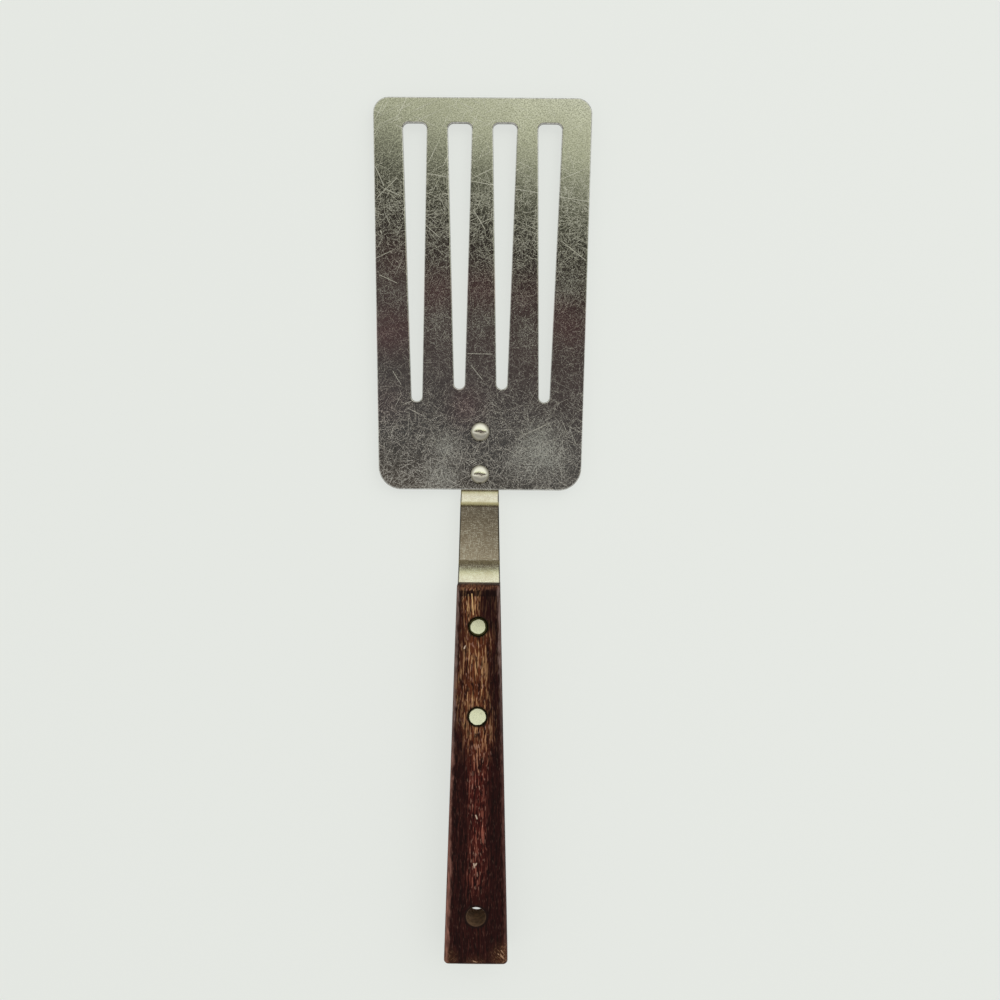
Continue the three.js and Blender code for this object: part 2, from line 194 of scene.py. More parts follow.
SKY_SIDE_START = math.radians(48)
SKY_SIDE_END = math.radians(68)
KEY_PLACE = Vector((0.70, 0.45, 0.80))
KEY_SIZE = 1.2
KEY_POWER = 4.5
FLOOR_COLOUR = (0.80, 0.82, 0.80, 1)
FLOOR_TONE = (0.81, 0.835, 0.80, 1)
FLOOR_EVENNESS = 0.77
FLOOR_ROUGHNESS = 0.9
FLOOR_HALF = 3.0
FLOOR_DROP = 0.2 * MM

# From here on lengths are in millimetres, apart from reliefs.
# A noise has a size, a detail and perhaps a start.
# Strokes have a size, directions in degrees, and two levels of noise between which they ease in.
# A pair says where a mask eases in, or which two values a share goes between.
# Four numbers say both of these, or else where a band starts, is full, fades and ends.
NOISE_DETAIL = 2.0
NOISE_SPAN = (0.25, 0.75)
STROKE_DETAIL = 1.0
STROKE_STEP = 17.0

# Blade finish: its ground, strokes, scratches and dents
SHEET_DARK = colour(146, 145, 142)
SHEET_LIGHT = colour(222, 221, 216)
SHEET_STROKE = colour(234, 233, 226)
# The wall colour is painted shade on the sheet's cut walls and over half of their edge roundings
SHEET_WALL_SHADE = colour(92, 88, 80)
SHEET_ROUGHNESS = (0.08, 0.13)
SHEET_RELIEF = 0.003 * MM
SPECK = (0.45, 0.45, 0.45)
SPECK_LEVELS = (0.35, 0.65)
# Towards the tip the fine strokes are weaker, and the ground's specks are painted lighter: painted light
SMOOTH_LIT_TIP = (112.0, 140.0)
GROUND_SPECK_TIP_LIGHT = (0.35, 0.85)
GROUND_STROKE = 0.65
FINE_STROKES = ((5.0, 0.42, 3.0), (6, 31, 47, 68, 93, 118, 136, 161), (0.58, 0.70))
HAIRLINES = ((15.0, 0.30, 3.0), (25, 64, 112, 155), (0.69, 0.79))
CALM_PLACE = 72.0
CALM_REACH = (12.0, 34.0, 0.5, 1.0)
STROKE_CALM = (0.5, 1.0, 0.8, 1.0)
STROKE_SPECK = (0.55, 1.0)
STROKE_TIP = (1.0, 0.45)
STROKE_DEPTH = 0.72
STROKE_ROUGHNESS = 0.36
SCRATCH_WIDTH = 0.24
SCRATCH_SHARE = 0.75
DEEP_SCRATCHES = [
    ((-18.9, 126.4), (37.7, 117.1)),
    ((-37.2, 128.6), (-34.3, 122.2)),
    ((-36.6, 118.1), (-29.7, 124.8)),
    ((-35.9, 91.4), (-29.6, 88.6)),
    ((27.9, 103.6), (36.4, 97.0)),
    ((-19.3, 108.4), (-15.1, 104.8)),
    ((-3.1, 114.2), (1.1, 107.5)),
    ((-31.0, 57.9), (-28.1, 53.2)),
    ((-3.3, 60.0), (0.5, 55.3)),
    ((-4.9, 64.2), (4.1, 64.1)),
]
DENT_WIDTH = 0.45
DENT_SPECK = (0.0, 0.6)
DENTS = [
    ((-35.3, 106.5), (-34.9, 105.2)),
    ((28.7, 122.6), (29.4, 121.2)),
    ((29.2, 121.2), (30.1, 120.8)),
    ((22.4, 64.5), (22.8, 63.6)),
]

# Blade finish: its clouds, haze, reddish heat tints that are partly a painted reflection, and a dark ring
# round each rivet. A patch has x, y, radius and strength.
SHEET_CLOUD = colour(160, 158, 153)
SHEET_TINT_AND_REFLECTION = colour(188, 150, 155)
SHEET_HAZE = colour(220, 226, 222)
# A dark ring is laid on the sheet round each rivet's foot
SHEET_RIVET_RING = colour(84, 80, 66)
CLOUD = ((16.0, 16.0, 16.0), 4.0)
CLOUD_SHARE = (0.35, 0.7, 0.0, 0.3)
RIVET_RING_EDGE = (0.75, 0.0, 0.0, 0.8)
RIVET_RING_SPECK = (0.9, 0.3)
HAZE_CLOUD = (0.25, 0.65, 0.45, 1.0)
HAZE_SPECK = (0.4, 1.0)
HAZE_SHARE = 0.45
HAZE_ROUGHNESS = 0.32
HAZE_PATCHES = [
    (22.0, 30.0, 17.0, 1.0),
    (14.0, 27.0, 9.0, 0.7),
    (-11.4, 31.3, 9.0, 0.8),
    (-14.1, 21.4, 10.0, 0.7),
    (29.9, 88.1, 9.0, 0.32),
    (-14.8, 74.5, 9.0, 0.4),
    (0.7, 74.6, 8.0, 0.3),
    (16.0, 72.0, 8.0, 0.25),
]
TINT_CLOUD = (0.75, 0.35, 0.5, 1.0)
TINT_SHARE = 0.6
# Reddish patches: heat tint, and partly a painted reflection of reddish surroundings
HEAT_TINTS_AND_REFLECTIONS = [
    (-32.4, 71.3, 13.0, 1.0),
    (31.0, 75.9, 14.0, 0.9),
    (-15.9, 86.7, 12.0, 0.7),
    (0.1, 86.9, 13.0, 0.8),
    (16.0, 86.0, 11.0, 0.6),
    (-31.0, 97.0, 12.0, 0.5),
    (-5.4, 45.8, 12.0, 0.7),
    (-33.0, 47.0, 12.0, 0.4),
]

# Shank finish, with its stains. Painted shade lies at the blade's heel, as the heel's shadow, and at the
# first step's end and the second step's start.
STRIP_DARK = colour(214, 208, 186)
STRIP_LIGHT = colour(244, 243, 224)
STRIP_STAIN = colour(182, 170, 146)
# The edge colour is painted shade along the strip's two sides
STRIP_EDGE_SHADE = colour(56, 50, 42)
STRIP_EDGE_SHADE_SHARE = (-0.6, -0.15, 0.0, 0.95)
STRIP_STROKES = ((1.4, 0.30, 0.6), (4, 176, 90), (0.50, 0.78))
STRIP_ROUGHNESS = (0.11, 0.19)
STRIP_RELIEF = 0.0015 * MM
STAIN = ((6.0, 4.0, 4.0), 4.0)
STAIN_SHARE = (0.4, 0.75, 0.0, 0.4)
# Painted shade at the bends, and the blade heel's painted shadow on the strip
BEND_SHADE = colour(158, 146, 108)
BEND_SHADE_SHARE = 0.75
HEEL_SHADOW = (-2.4, -0.2, 0.0, 0.8)
FIRST_BEND_SHADE = (2.3, 1.5, 0.3, 0.0)
SECOND_BEND_SHADE = (0.0, -0.6, -1.2, -2.8)
BEND_EASING = 1.0
BEND_ROUGHNESS = 0.12

# Finish of the blade rivets' domes
DOME_BRIGHT = colour(238, 236, 222)
# The dull colour is painted shade on each dome's half towards the handle
DOME_LOWER_SHADE = colour(184, 180, 168)
DOME_LOWER_SHADE_BAND = (-0.1, -0.8, -3.6, -4.0)
# Each dome is darkened towards its foot
DOME_FOOT_DARK = colour(104, 98, 78)
DOME_FOOT_DARK_HEIGHT = 0.95
DOME_FOOT_DARK_SHARE = 0.85
DOME_WIPING = ((1.0, 0.2, 0.5), (15, 75, 130), (0.55, 0.80))
DOME_ROUGHNESS = (0.10, 0.22)
DOME_DENTS = ((0.34, 0.34, 0.34), 1.0)
DOME_RELIEF = 0.03 * MM

# Finish of the flush rivets
BRASS_DARK = colour(229, 232, 199)
BRASS_LIGHT = colour(239, 243, 213)
BRASS_TARNISH = colour(211, 215, 177)
BRASS_GRINDING = ((1.1, 0.22, 0.6), (20, 68, 115, 160), (0.52, 0.75))
BRASS_ROUGHNESS = (0.22, 0.36)
BRASS_RELIEF = 0.002 * MM
BRASS_RIM = colour(62, 60, 34)
BRASS_RIM_WIDTH = 0.2
BRASS_RIM_INSETS = (0.4, 0.1)
BRASS_RAGGED = (0.35, 0.75, 0.0, 0.3)
TARNISH = ((2.0, 2.0, 2.0), 3.0)
TARNISH_SHARE = (0.45, 0.8, 0.0, 0.3)

# Wood: the lighter heart zone, its streaks, flecks and pores
WOOD_DARK = colour(36, 10, 9)
WOOD_PORE = colour(20, 6, 5)
WOOD_ROUGHNESS = (0.45, 0.62)
WOOD_SPECULAR = 0.08
WOOD_RELIEF = 0.02 * MM
HEART_UPPER = colour(90, 46, 26)
HEART_LOWER = colour(64, 20, 16)
HEART_TURN = (-62.0, -86.0)
HEART_CENTRES = (-0.9, 0.6)
HEART_HALF_WIDTHS = (5.6, 3.8)
HEART_TOP = (-38.0, -25.0)
HEART_TOP_SHIFT = 2.8
HEART_TOP_NARROWING = 2.4
HEART_WAVE = (14.0, 38.0, 14.0)
HEART_DRIFT = 2.0
HEART_EDGE = (1.6, 0.25)
HEART_FADE = (-134.0, -112.0, 0.12, 1.0)
SWAY_WAVE = (7.0, 22.0, 7.0)
SWAY = 0.4
STREAK = ((0.52, 8.0, 0.9), 2.0)
STREAK_UPPER = colour(192, 148, 106)
STREAK_LOWER = colour(142, 82, 68)
STREAK_LEVELS = (0.56, 0.64)
STREAK_SHARES = (0.05, 0.75)
DARK_STREAK = (0.47, 0.32, 0.0, 0.8)
THREAD = ((0.42, 4.5, 0.9), 1.0, (3.0, 5.0, 7.0))
THREAD_LEVELS = (0.60, 0.66)
THREAD_SHARES = (0.07, 0.75)
FLECK = ((0.36, 2.4, 0.9), 1.0, (11.0, 2.0, 5.0))
FLECK_COLOUR = colour(176, 134, 118)
FLECK_LEVELS = (0.61, 0.72)
FLECK_SHARES = (0.09, 0.68)
PORE = ((0.48, 3.2, 0.9), 1.0, (1.0, 31.0, 9.0))
PORE_LEVELS = (0.55, 0.62)
PORE_SHARE = 0.8
PORE_DEPTH = 0.5

# Wood: single light streaks and nicks
LIGHT_STREAK = colour(214, 172, 122)
LIGHT_STREAK_THREAD = (0.3, 0.55)
LIGHT_STREAKS = [
    ((-2.1, -19.6), (-1.6, -23.6)),
    ((-1.6, -23.6), (-1.3, -26.8)),
    ((-3.2, -19.8), (-3.3, -25.5)),
]
FAINT_STREAK = colour(158, 112, 88)
FAINT_STREAK_PORE = (0.62, 0.48)
FAINT_STREAKS = [((-0.1, -74.7), (0.4, -82.6))]
STREAK_WIDTH = 0.34
NICK = colour(222, 196, 176)
NICK_FLECK = (0.3, 0.55)
NICK_WIDTH = 0.4
PALE_NICKS = [
    ((-1.3, -115.6), (-0.9, -117.0)),
    ((-0.3, -115.5), (-0.9, -116.6)),
    ((-0.1, -98.2), (0.3, -99.3)),
    ((-5.1, -38.7), (-4.6, -37.8)),
]

# Wood: its long edges, worn and with a painted sheen, and its mouth, whose rounded edge is worn and has a
# painted highlight, and where a dark band runs across just under the rounded edge
# Edge colours: wear, and a painted sheen for the rounded edges' reflection
EDGE_WEAR_SHEEN_UPPER = colour(134, 110, 104)
EDGE_WEAR_SHEEN_LOWER = colour(146, 100, 89)
EDGE_WIDTH = (-1.5, -0.3)
EDGE_DEPTH = (-2.0, -0.5)
EDGE_WIDENING = (-95.0, -120.0)
EDGE_WIDER = (0.0, -4.0, 0.0, 0.6)
EDGE_WAVE = (1.5, 3.0, 1.5)
EDGE_RAGGED = 0.35
EDGE_THREAD = (0.35, 0.65, 0.4, 1.0)
EDGE_FROM_LEFT = (-2.0, 6.0)
EDGE_RIGHT_SHARE = (-80.0, -30.0, 0.28, 0.85)
MOUTH_BAND = (-20.7, -20.1, -18.7, -18.0)
MOUTH_BAND_SHARE = (0.35, 0.6, 0.95, 0.65)
MOUTH_SHADE = (-18.8, -17.0, 1.0, 0.35)
MOUTH_EDGE = (-18.3, -17.5, -17.0, -16.5)
# The mouth's rounded edge: worn flecks, and a painted highlight
MOUTH_WEAR_HIGHLIGHT = colour(108, 72, 52)
MOUTH_WEAR_HIGHLIGHT_SHARE = (0.44, 0.62, 0.1, 0.8)

# Wood: the rubbed and scratched corners of the butt
BUTT_BARE = colour(84, 52, 32)
BUTT_BARE_SHARE = 0.5
BUTT_SCUFF = colour(150, 112, 84)
BUTT_SCUFF_SHARE = (0.05, 0.6, 0.0, 0.45)
BUTT_STROKES = ((2.0, 0.36, 1.0), (52, 118, 140), (0.60, 0.72))
BUTT_WEAR = [(-10.6, -150.6, 6.5, 0.8), (10.6, -149.5, 8.0, 1.0), (0.0, -154.0, 7.0, 0.7)]
BUTT_SCRATCH = colour(198, 158, 128)
BUTT_SCRATCH_THREAD = (0.3, 0.5)
BUTT_SCRATCH_WIDTH = 0.24
BUTT_SCRATCHES = [
    ((9.0, -147.0), (11.1, -149.7)),
    ((8.6, -148.2), (10.7, -150.6)),
    ((7.9, -148.3), (9.9, -149.9)),
    ((9.7, -149.9), (11.2, -151.4)),
    ((10.6, -146.0), (11.2, -147.4)),
    ((9.4, -151.6), (10.6, -150.9)),
    ((-11.1, -148.3), (-10.4, -150.8)),
    ((-10.4, -143.0), (-9.9, -144.1)),
    ((-10.7, -151.2), (-9.6, -151.8)),
    ((-1.2, -150.9), (0.2, -151.4)),
]

# Wood: the stained rims of the rivet holes, the hanging hole's darkened rim, and that hole's wall of
# unstained wood, painted lighter with depth as painted light
RIVET_STAIN = colour(24, 20, 9)
RIVET_STAIN_EDGE = (0.95, 0.35)
RIVET_STAIN_SHARE = 0.85
# The hanging hole's rim and the wood round it are darkened
HOLE_RIM_DARK = colour(24, 12, 10)
HOLE_RIM_DARK_EDGE = (0.8, 0.0, 0.0, 0.8)
# The hole's wall: unstained wood, with painted light that grows with depth against the bore's shade
HOLE_RAW_WOOD_AND_LIGHT = colour(196, 158, 122)
HOLE_WALL_EDGE = (-0.2, -0.6)
HOLE_WAVE = (2.0, 2.0, 2.0)
HOLE_MOTTLE = (0.4, 1.0)
HOLE_DEPTH_LIGHT = (0.0, -11.0, 0.22, 1.0)
HOLE_ROUGHNESS = 0.7


def together(*columns):
    """Arrays put together along a new last axis, so that each row is one point or one face."""
    return np.stack(np.broadcast_arrays(*columns), axis=-1)


def lengths(vectors):
    """Lengths of the rows of an array."""
    return np.linalg.norm(vectors, axis=-1, keepdims=True)


def rivet_y(node):
    """Where a rivet's axis is along the tool: halfway through its box."""
    low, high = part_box(node)
    return (low.y + high.y) / 2


def head_radius(node):
    """A rivet's widest radius: half the width of its box."""
    low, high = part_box(node)
    return (high.x - low.x) / 2


def add_object(name, data):
    """Puts a new object into the scene, at the origin."""
    made = bpy.data.objects.new(name, data)
    bpy.context.scene.collection.objects.link(made)
    return made


def new_piece(name, vertices, faces, flat_faces=0):
    """A closed mesh piece with its faces pointing out. The last flat_faces faces are shaded flat."""
    mesh = bpy.data.meshes.new(name)
    mesh.from_pydata(np.asarray(vertices).tolist(), [], faces)
    shell = bmesh.new()
    shell.from_mesh(mesh)
    bmesh.ops.recalc_face_normals(shell, faces=shell.faces)
    shell.to_mesh(mesh)
    shell.free()
    mesh.set_sharp_from_angle(angle=SHARP_ANGLE)
    smooth = np.arange(len(faces)) < len(faces) - flat_faces
    mesh.polygons.foreach_set("use_smooth", smooth)
    return add_object(name, mesh)


def ring_faces(rows, columns, first=0):
    """Quads of a grid of rows by columns whose columns close into rings."""
    row, column = np.meshgrid(np.arange(rows - 1), np.arange(columns), indexing="ij")
    following = (column + 1) % columns
    low, high = row * columns, (row + 1) * columns
    quads = together(low + column, high + column, high + following, low + following)
    return (quads.reshape(-1, 4) + first).tolist()


def lofted_piece(name, surface):
    """A piece from rows of closed sections, with a flat cap over the first row and over the last."""
    rows, columns = surface.shape[:2]
    caps = [list(range(columns)), list(range((rows - 1) * columns, rows * columns))]
    return new_piece(name, surface.reshape(-1, 3), ring_faces(rows, columns) + caps, flat_faces=len(caps))


def turned_piece(name, profile, y):
    """A profile of (radius, z), from axis to axis, turned about the line parallel to Z at the given y.
    A point is (radius cos a, y + radius sin a, z), and each end closes in one pole."""
    radius, z = np.asarray(profile, float).T
    reach, height = radius[1:-1, None], z[1:-1, None]
    rings = together(reach * np.cos(FULL_TURN), y + reach * np.sin(FULL_TURN), height).reshape(-1, 3)
    poles = np.array([[0, y, z[0]], [0, y, z[-1]]])
    column = np.arange(TURNED_STEPS)
    following = (column + 1) % TURNED_STEPS
    last = len(rings) - TURNED_STEPS
    first_fan = together(len(rings), column, following)
    last_fan = together(len(rings) + 1, last + following, last + column)
    faces = ring_faces(len(radius) - 2, TURNED_STEPS) + first_fan.tolist() + last_fan.tolist()
    return new_piece(name, np.concatenate([rings, poles]), faces)


def arc(centre, radius, first, last):
    """Points of a circle's arc between two angles, given in degrees."""
    angle = np.radians(np.linspace(first, last, EDGE_STEPS))
    return together(centre[0] + radius * np.cos(angle), centre[1] + radius * np.sin(angle))


def rounded_outline(corners, radii):
    """A convex outline, counter-clockwise, with an arc tangent to both sides at each corner.
    The arc's centre is on the corner's bisector, and its normal turns from one side's to the next one's.
    Gives the points and their outward normals."""
    corners = np.asarray(corners, float)
    back = np.roll(corners, 1, axis=0) - corners
    ahead = np.roll(corners, -1, axis=0) - corners
    room = np.minimum(lengths(back), lengths(ahead))[:, 0] / 2
    back /= lengths(back)
    ahead /= lengths(ahead)
    half_angle = np.arccos(np.sum(back * ahead, axis=1)) / 2
    inset = np.minimum(np.asarray(radii) / np.tan(half_angle), room * FULL_CORNER)
    radius = inset * np.tan(half_angle)
    bisector = (back + ahead) / lengths(back + ahead)
    centres = corners + bisector * (radius / np.sin(half_angle))[:, None]
    first = np.arctan2(back[:, 0], -back[:, 1])
    angle = first[:, None] + (np.pi - 2 * half_angle)[:, None] * np.linspace(0, 1, CORNER_STEPS)
    normals = together(np.cos(angle), np.sin(angle))
    points = centres[:, None] + radius[:, None, None] * normals
    return points.reshape(-1, 2), normals.reshape(-1, 2)


def round_outline(diameter, y):
    """A circle about (0, y), with its outward normals."""
    normals = together(np.cos(FULL_TURN), np.sin(FULL_TURN))
    return normals * diameter / 2 + np.array([0, y]), normals


def slot_outline(position, length):
    """One slot: a tapered outline, with small arcs at its tip end and a half circle at its heel end."""
    tip_y = TIP_Y - SLOT_TIP_MARGIN
    heel_y = tip_y - length
    tip_x, heel_x = position * SLOT_TIP_PITCH, position * SLOT_HEEL_PITCH
    corners = [
        (heel_x - SLOT_HEEL_WIDTH / 2, heel_y),
        (heel_x + SLOT_HEEL_WIDTH / 2, heel_y),
        (tip_x + SLOT_TIP_WIDTH / 2, tip_y),
        (tip_x - SLOT_TIP_WIDTH / 2, tip_y),
    ]
    return rounded_outline(corners, [SLOT_HEEL_WIDTH / 2] * 2 + [SLOT_TIP_CORNER_RADIUS] * 2)


def flat_triangles(loops, indices):
    """Triangles that fill the flat between an outer loop and the holes in it, as vertex indices."""
    corners = np.concatenate(loops)
    triangles = np.array(tessellate_polygon([[Vector(point) for point in loop] for loop in loops]))
    a, b, c = (corners[triangles[:, k], :2] for k in range(3))
    area = np.abs((b - a)[:, 0] * (c - a)[:, 1] - (b - a)[:, 1] * (c - a)[:, 0])
    return np.concatenate(indices)[triangles[area > 0]].tolist()


def make_blade():
    """The sheet: an edge profile (inset, z) of two quarter arcs is carried round the outline and round each
    slot and hole, going from the front flat to the back flat, and the two flats are filled."""
    front_edge, back_edge = BLADE_FRONT_EDGE_RADIUS, BLADE_BACK_EDGE_RADIUS
    profile = np.concatenate([
        arc((front_edge, BLADE_HIGH.z - front_edge), front_edge, 90, 180),
        arc((back_edge, BLADE_LOW.z + back_edge), back_edge, 180, 270),
    ])
    half_tip, half_heel = BLADE_TIP_WIDTH / 2, BLADE_HEEL_WIDTH / 2
    corners = [(-half_heel, HEEL_Y), (half_heel, HEEL_Y), (half_tip, TIP_Y), (-half_tip, TIP_Y)]
    radii = [BLADE_HEEL_CORNER_RADIUS] * 2 + [BLADE_TIP_CORNER_RADIUS] * 2
    positions = np.arange(SLOT_COUNT) - (SLOT_COUNT - 1) / 2
    slot_lengths = np.where(abs(positions) == abs(positions).max(), OUTER_SLOT_LENGTH, INNER_SLOT_LENGTH)
    stem_hole = BLADE_RIVET_STEM_DIAMETER + 2 * FIT_CLEARANCE
    edges = [(rounded_outline(corners, radii), 1)]
    edges += [(slot_outline(*slot), -1) for slot in zip(positions, slot_lengths)]
    edges += [(round_outline(stem_hole, rivet_y(node)), -1) for node in BLADE_RIVETS]
    rims, faces, first = [], [], 0
    for (points, normals), side in edges:
        plan = points - side * profile[:, :1, None] * normals
        rings = together(plan[..., 0], plan[..., 1], profile[:, 1:])
        indices = first + np.arange(plan[..., 0].size).reshape(plan.shape[:2])
        faces += ring_faces(*indices.shape, first)
        rims.append((rings, indices))
        first += indices.size
    flats = []
    for row in (0, -1):
        loops = [rings[row] for rings, indices in rims]
        flats += flat_triangles(loops, [indices[row] for rings, indices in rims])
    vertices = np.concatenate([rings.reshape(-1, 3) for rings, indices in rims])
    return new_piece("blade_sheet", vertices, faces + flats, flat_faces=len(flats))


def rounded_sections(half_width, low, high, radius):
    """Rounded rectangles in (x, height), one per station: a quarter arc at each corner, and straight runs
    between them with points close to both ends, so that the flats stay flat."""
    quarter = np.radians(np.linspace(0, 90, EDGE_STEPS))
    across = [half_width - radius, radius - half_width, radius - half_width, half_width - radius]
    up = [high - radius, high - radius, low + radius, low + radius]
    arcs = []
    for corner in range(4):
        angle = quarter + corner * np.pi / 2
        x = across[corner][:, None] + radius[:, None] * np.cos(angle)
        height = up[corner][:, None] + radius[:, None] * np.sin(angle)
        arcs.append(together(x, height))
    stretches = []
    for corner in range(4):
        start, end = arcs[corner][:, -1:], arcs[(corner + 1) % 4][:, :1]
        stretches += [arcs[corner], start + (end - start) * FLAT_RUN[:, None]]
    return np.concatenate(stretches, axis=1)


def end_rounding(distance, radius):
    """How far a surface is drawn in near an end: a quarter circle's drop, nothing beyond the radius."""
    inside = np.clip(radius - distance, 0, radius)
    return radius - np.sqrt(radius ** 2 - inside ** 2)


def s_bend(start_y, start_z, rise, first_radius, second_radius):
    """Rows of (y, z, slope) of an S-bend: two arcs that turn to the steepest slope and back to level."""
    steepest = math.acos(1 - rise / (first_radius + second_radius))
    end_y = start_y - (first_radius + second_radius) * math.sin(steepest)
    slope = steepest * np.linspace(0, 1, BEND_STEPS)
    reach, lift = np.sin(slope), 1 - np.cos(slope)
    out = together(start_y - first_radius * reach, start_z + first_radius * lift, slope)
    home = together(end_y + second_radius * reach, start_z + rise - second_radius * lift, slope)
    return np.concatenate([out, home[-2::-1]])


def level_run(start_y, end_y, z, start_radius, end_radius):
    """Rows of (y, z, 0) of a straight run, with close stations where its ends are rounded off in plan."""
    y = np.concatenate([start_y - start_radius * END_STATIONS, end_y + end_radius * END_STATIONS[::-1]])
    return together(y, z, 0.0)


def first_step(lap_z):
    """Centre line of the first step, which starts at the blade's heel."""
    return s_bend(HEEL_Y, lap_z, FIRST_STEP_RISE, FIRST_STEP_RADIUS, FIRST_STEP_RADIUS)


def shank_path(end_y):
    """Centre line of the strip: lap behind the blade, first step, flat, second step and tang."""
    lap_z = BLADE_LOW.z - SHANK_THICKNESS / 2
    flat_z = lap_z + FIRST_STEP_RISE
    tang_z = HANDLE_LOW.z + HANDLE_THICKNESS / 2
    step_y = MOUTH_Y + SECOND_STEP_REACH
    second = s_bend(step_y, flat_z, tang_z - flat_z, SECOND_STEP_OUTER_RADIUS, SECOND_STEP_INNER_RADIUS)
    return np.concatenate([
        level_run(SHANK_HIGH.y, HEEL_Y, lap_z, SHANK_FRONT_CORNER_RADIUS, 0)[:-CORNER_STEPS],
        first_step(lap_z),
        second,
        level_run(second[-1, 0], end_y, tang_z, 0, TANG_END_CORNER_RADIUS)[CORNER_STEPS:],
    ])


def handle_width(y):
    """The handle's width, which grows evenly from its mouth to its butt."""
    return np.interp(y, [BUTT_Y, MOUTH_Y], [HANDLE_BUTT_WIDTH, HANDLE_TOP_WIDTH])


def strip_surface(name, path, half_width, thickness):
    """A rounded strip section carried along the path. Its height is laid off along the path's normal, so a
    point is (x, y + height sin slope, z + height cos slope)."""
    ones = np.ones(len(path))
    half = thickness / 2 * ones
    sections = rounded_sections(half_width, -half, half, SHANK_EDGE_RADIUS * ones)
    y, z, slope = (path[:, k, None] for k in range(3))
    x, height = sections[..., 0], sections[..., 1]
    return lofted_piece(name, together(x, y + height * np.sin(slope), z + height * np.cos(slope)))


def carve(piece, cutters):
    """Takes the cutters out of a piece, removes them, and shades it smooth between its sharp edges."""
    for cutter in cutters:
        cut = piece.modifiers.new(cutter.name, "BOOLEAN")
        cut.operation = "DIFFERENCE"
        cut.solver = "EXACT"
        cut.object = cutter
    bpy.context.view_layer.update()
    carved = bpy.data.meshes.new_from_object(piece.evaluated_get(bpy.context.evaluated_depsgraph_get()))
    carved.set_sharp_from_angle(angle=SHARP_ANGLE)
    piece.modifiers.clear()
    piece.data = carved
    for cutter in cutters:
        bpy.data.objects.remove(cutter)


def drill(diameter, node):
    """A round cutter on a rivet's axis, right through the tool's thickness."""
    radius = diameter / 2 + FIT_CLEARANCE
    profile = [(0, CUT_LOW), (radius, CUT_LOW), (radius, CUT_HIGH), (0, CUT_HIGH)]
    return turned_piece("drill", profile, rivet_y(node))


def make_shank():
    """The strip: its half width follows the plan outline, which is rounded off at both ends, and the holes
    for the rivets are drilled through it."""
    path = shank_path(SHANK_LOW.y)
    y = path[:, 0]
    tang_width = handle_width(y) - 2 * TANG_SIDE_INSET
    mouth_width = HANDLE_TOP_WIDTH - 2 * TANG_SIDE_INSET
    taper = np.interp(y, [MOUTH_Y, SHANK_HIGH.y], [mouth_width, SHANK_FRONT_WIDTH])
    half_width = np.where(y < MOUTH_Y, tang_width, taper) / 2
    half_width -= end_rounding(SHANK_HIGH.y - y, SHANK_FRONT_CORNER_RADIUS)
    half_width -= end_rounding(y - SHANK_LOW.y, TANG_END_CORNER_RADIUS)
    shank = strip_surface("shank_strip", path, half_width, SHANK_THICKNESS)
    drills = [drill(BLADE_RIVET_STEM_DIAMETER, node) for node in BLADE_RIVETS]
    drills += [drill(HANDLE_RIVET_TUBE_DIAMETER, node) for node in FRONT_RIVETS]
    carve(shank, drills)
    return shank


def tang_slot():
    """Cutter for the sawn slot: the strip's own path, grown by the clearance and wider than the handle."""
    path = shank_path(SHANK_LOW.y - FIT_CLEARANCE)
    half_width = np.full(len(path), HANDLE_BUTT_WIDTH / 2 + CUT_OVERRUN)
    return strip_surface("slot_cutter", path, half_width, SHANK_THICKNESS + 2 * FIT_CLEARANCE)


def rivet_seat(node):
    """Cutter for a stepped rivet hole: a wide end for each head and a narrow way for the tube."""
    wide = head_radius(node) + FIT_CLEARANCE
    narrow = HANDLE_RIVET_TUBE_DIAMETER / 2 + FIT_CLEARANCE
    back_seat = HANDLE_LOW.z + HANDLE_RIVET_HEAD_THICKNESS
    front_seat = HANDLE_HIGH.z - HANDLE_RIVET_HEAD_THICKNESS
    back_half = [(0, CUT_LOW), (wide, CUT_LOW), (wide, back_seat), (narrow, back_seat)]
    front_half = [(narrow, front_seat), (wide, front_seat), (wide, CUT_HIGH), (0, CUT_HIGH)]
    return turned_piece("seat_cutter", back_half + front_half, rivet_y(node))


def hang_hole():
    """Cutter for the hanging hole: a bore whose two rims flare out in quarter arcs."""
    rim = HANG_HOLE_RIM_RADIUS
    wide = HANG_HOLE_DIAMETER / 2 + rim
    profile = np.concatenate([
        [(0, CUT_LOW), (wide, CUT_LOW)],
        arc((wide, HANDLE_LOW.z + rim), rim, 270, 180),
        arc((wide, HANDLE_HIGH.z - rim), rim, 180, 90),
        [(wide, CUT_HIGH), (0, CUT_HIGH)],
    ])
    return turned_piece("hang_cutter", profile, HANG_HOLE_Y)


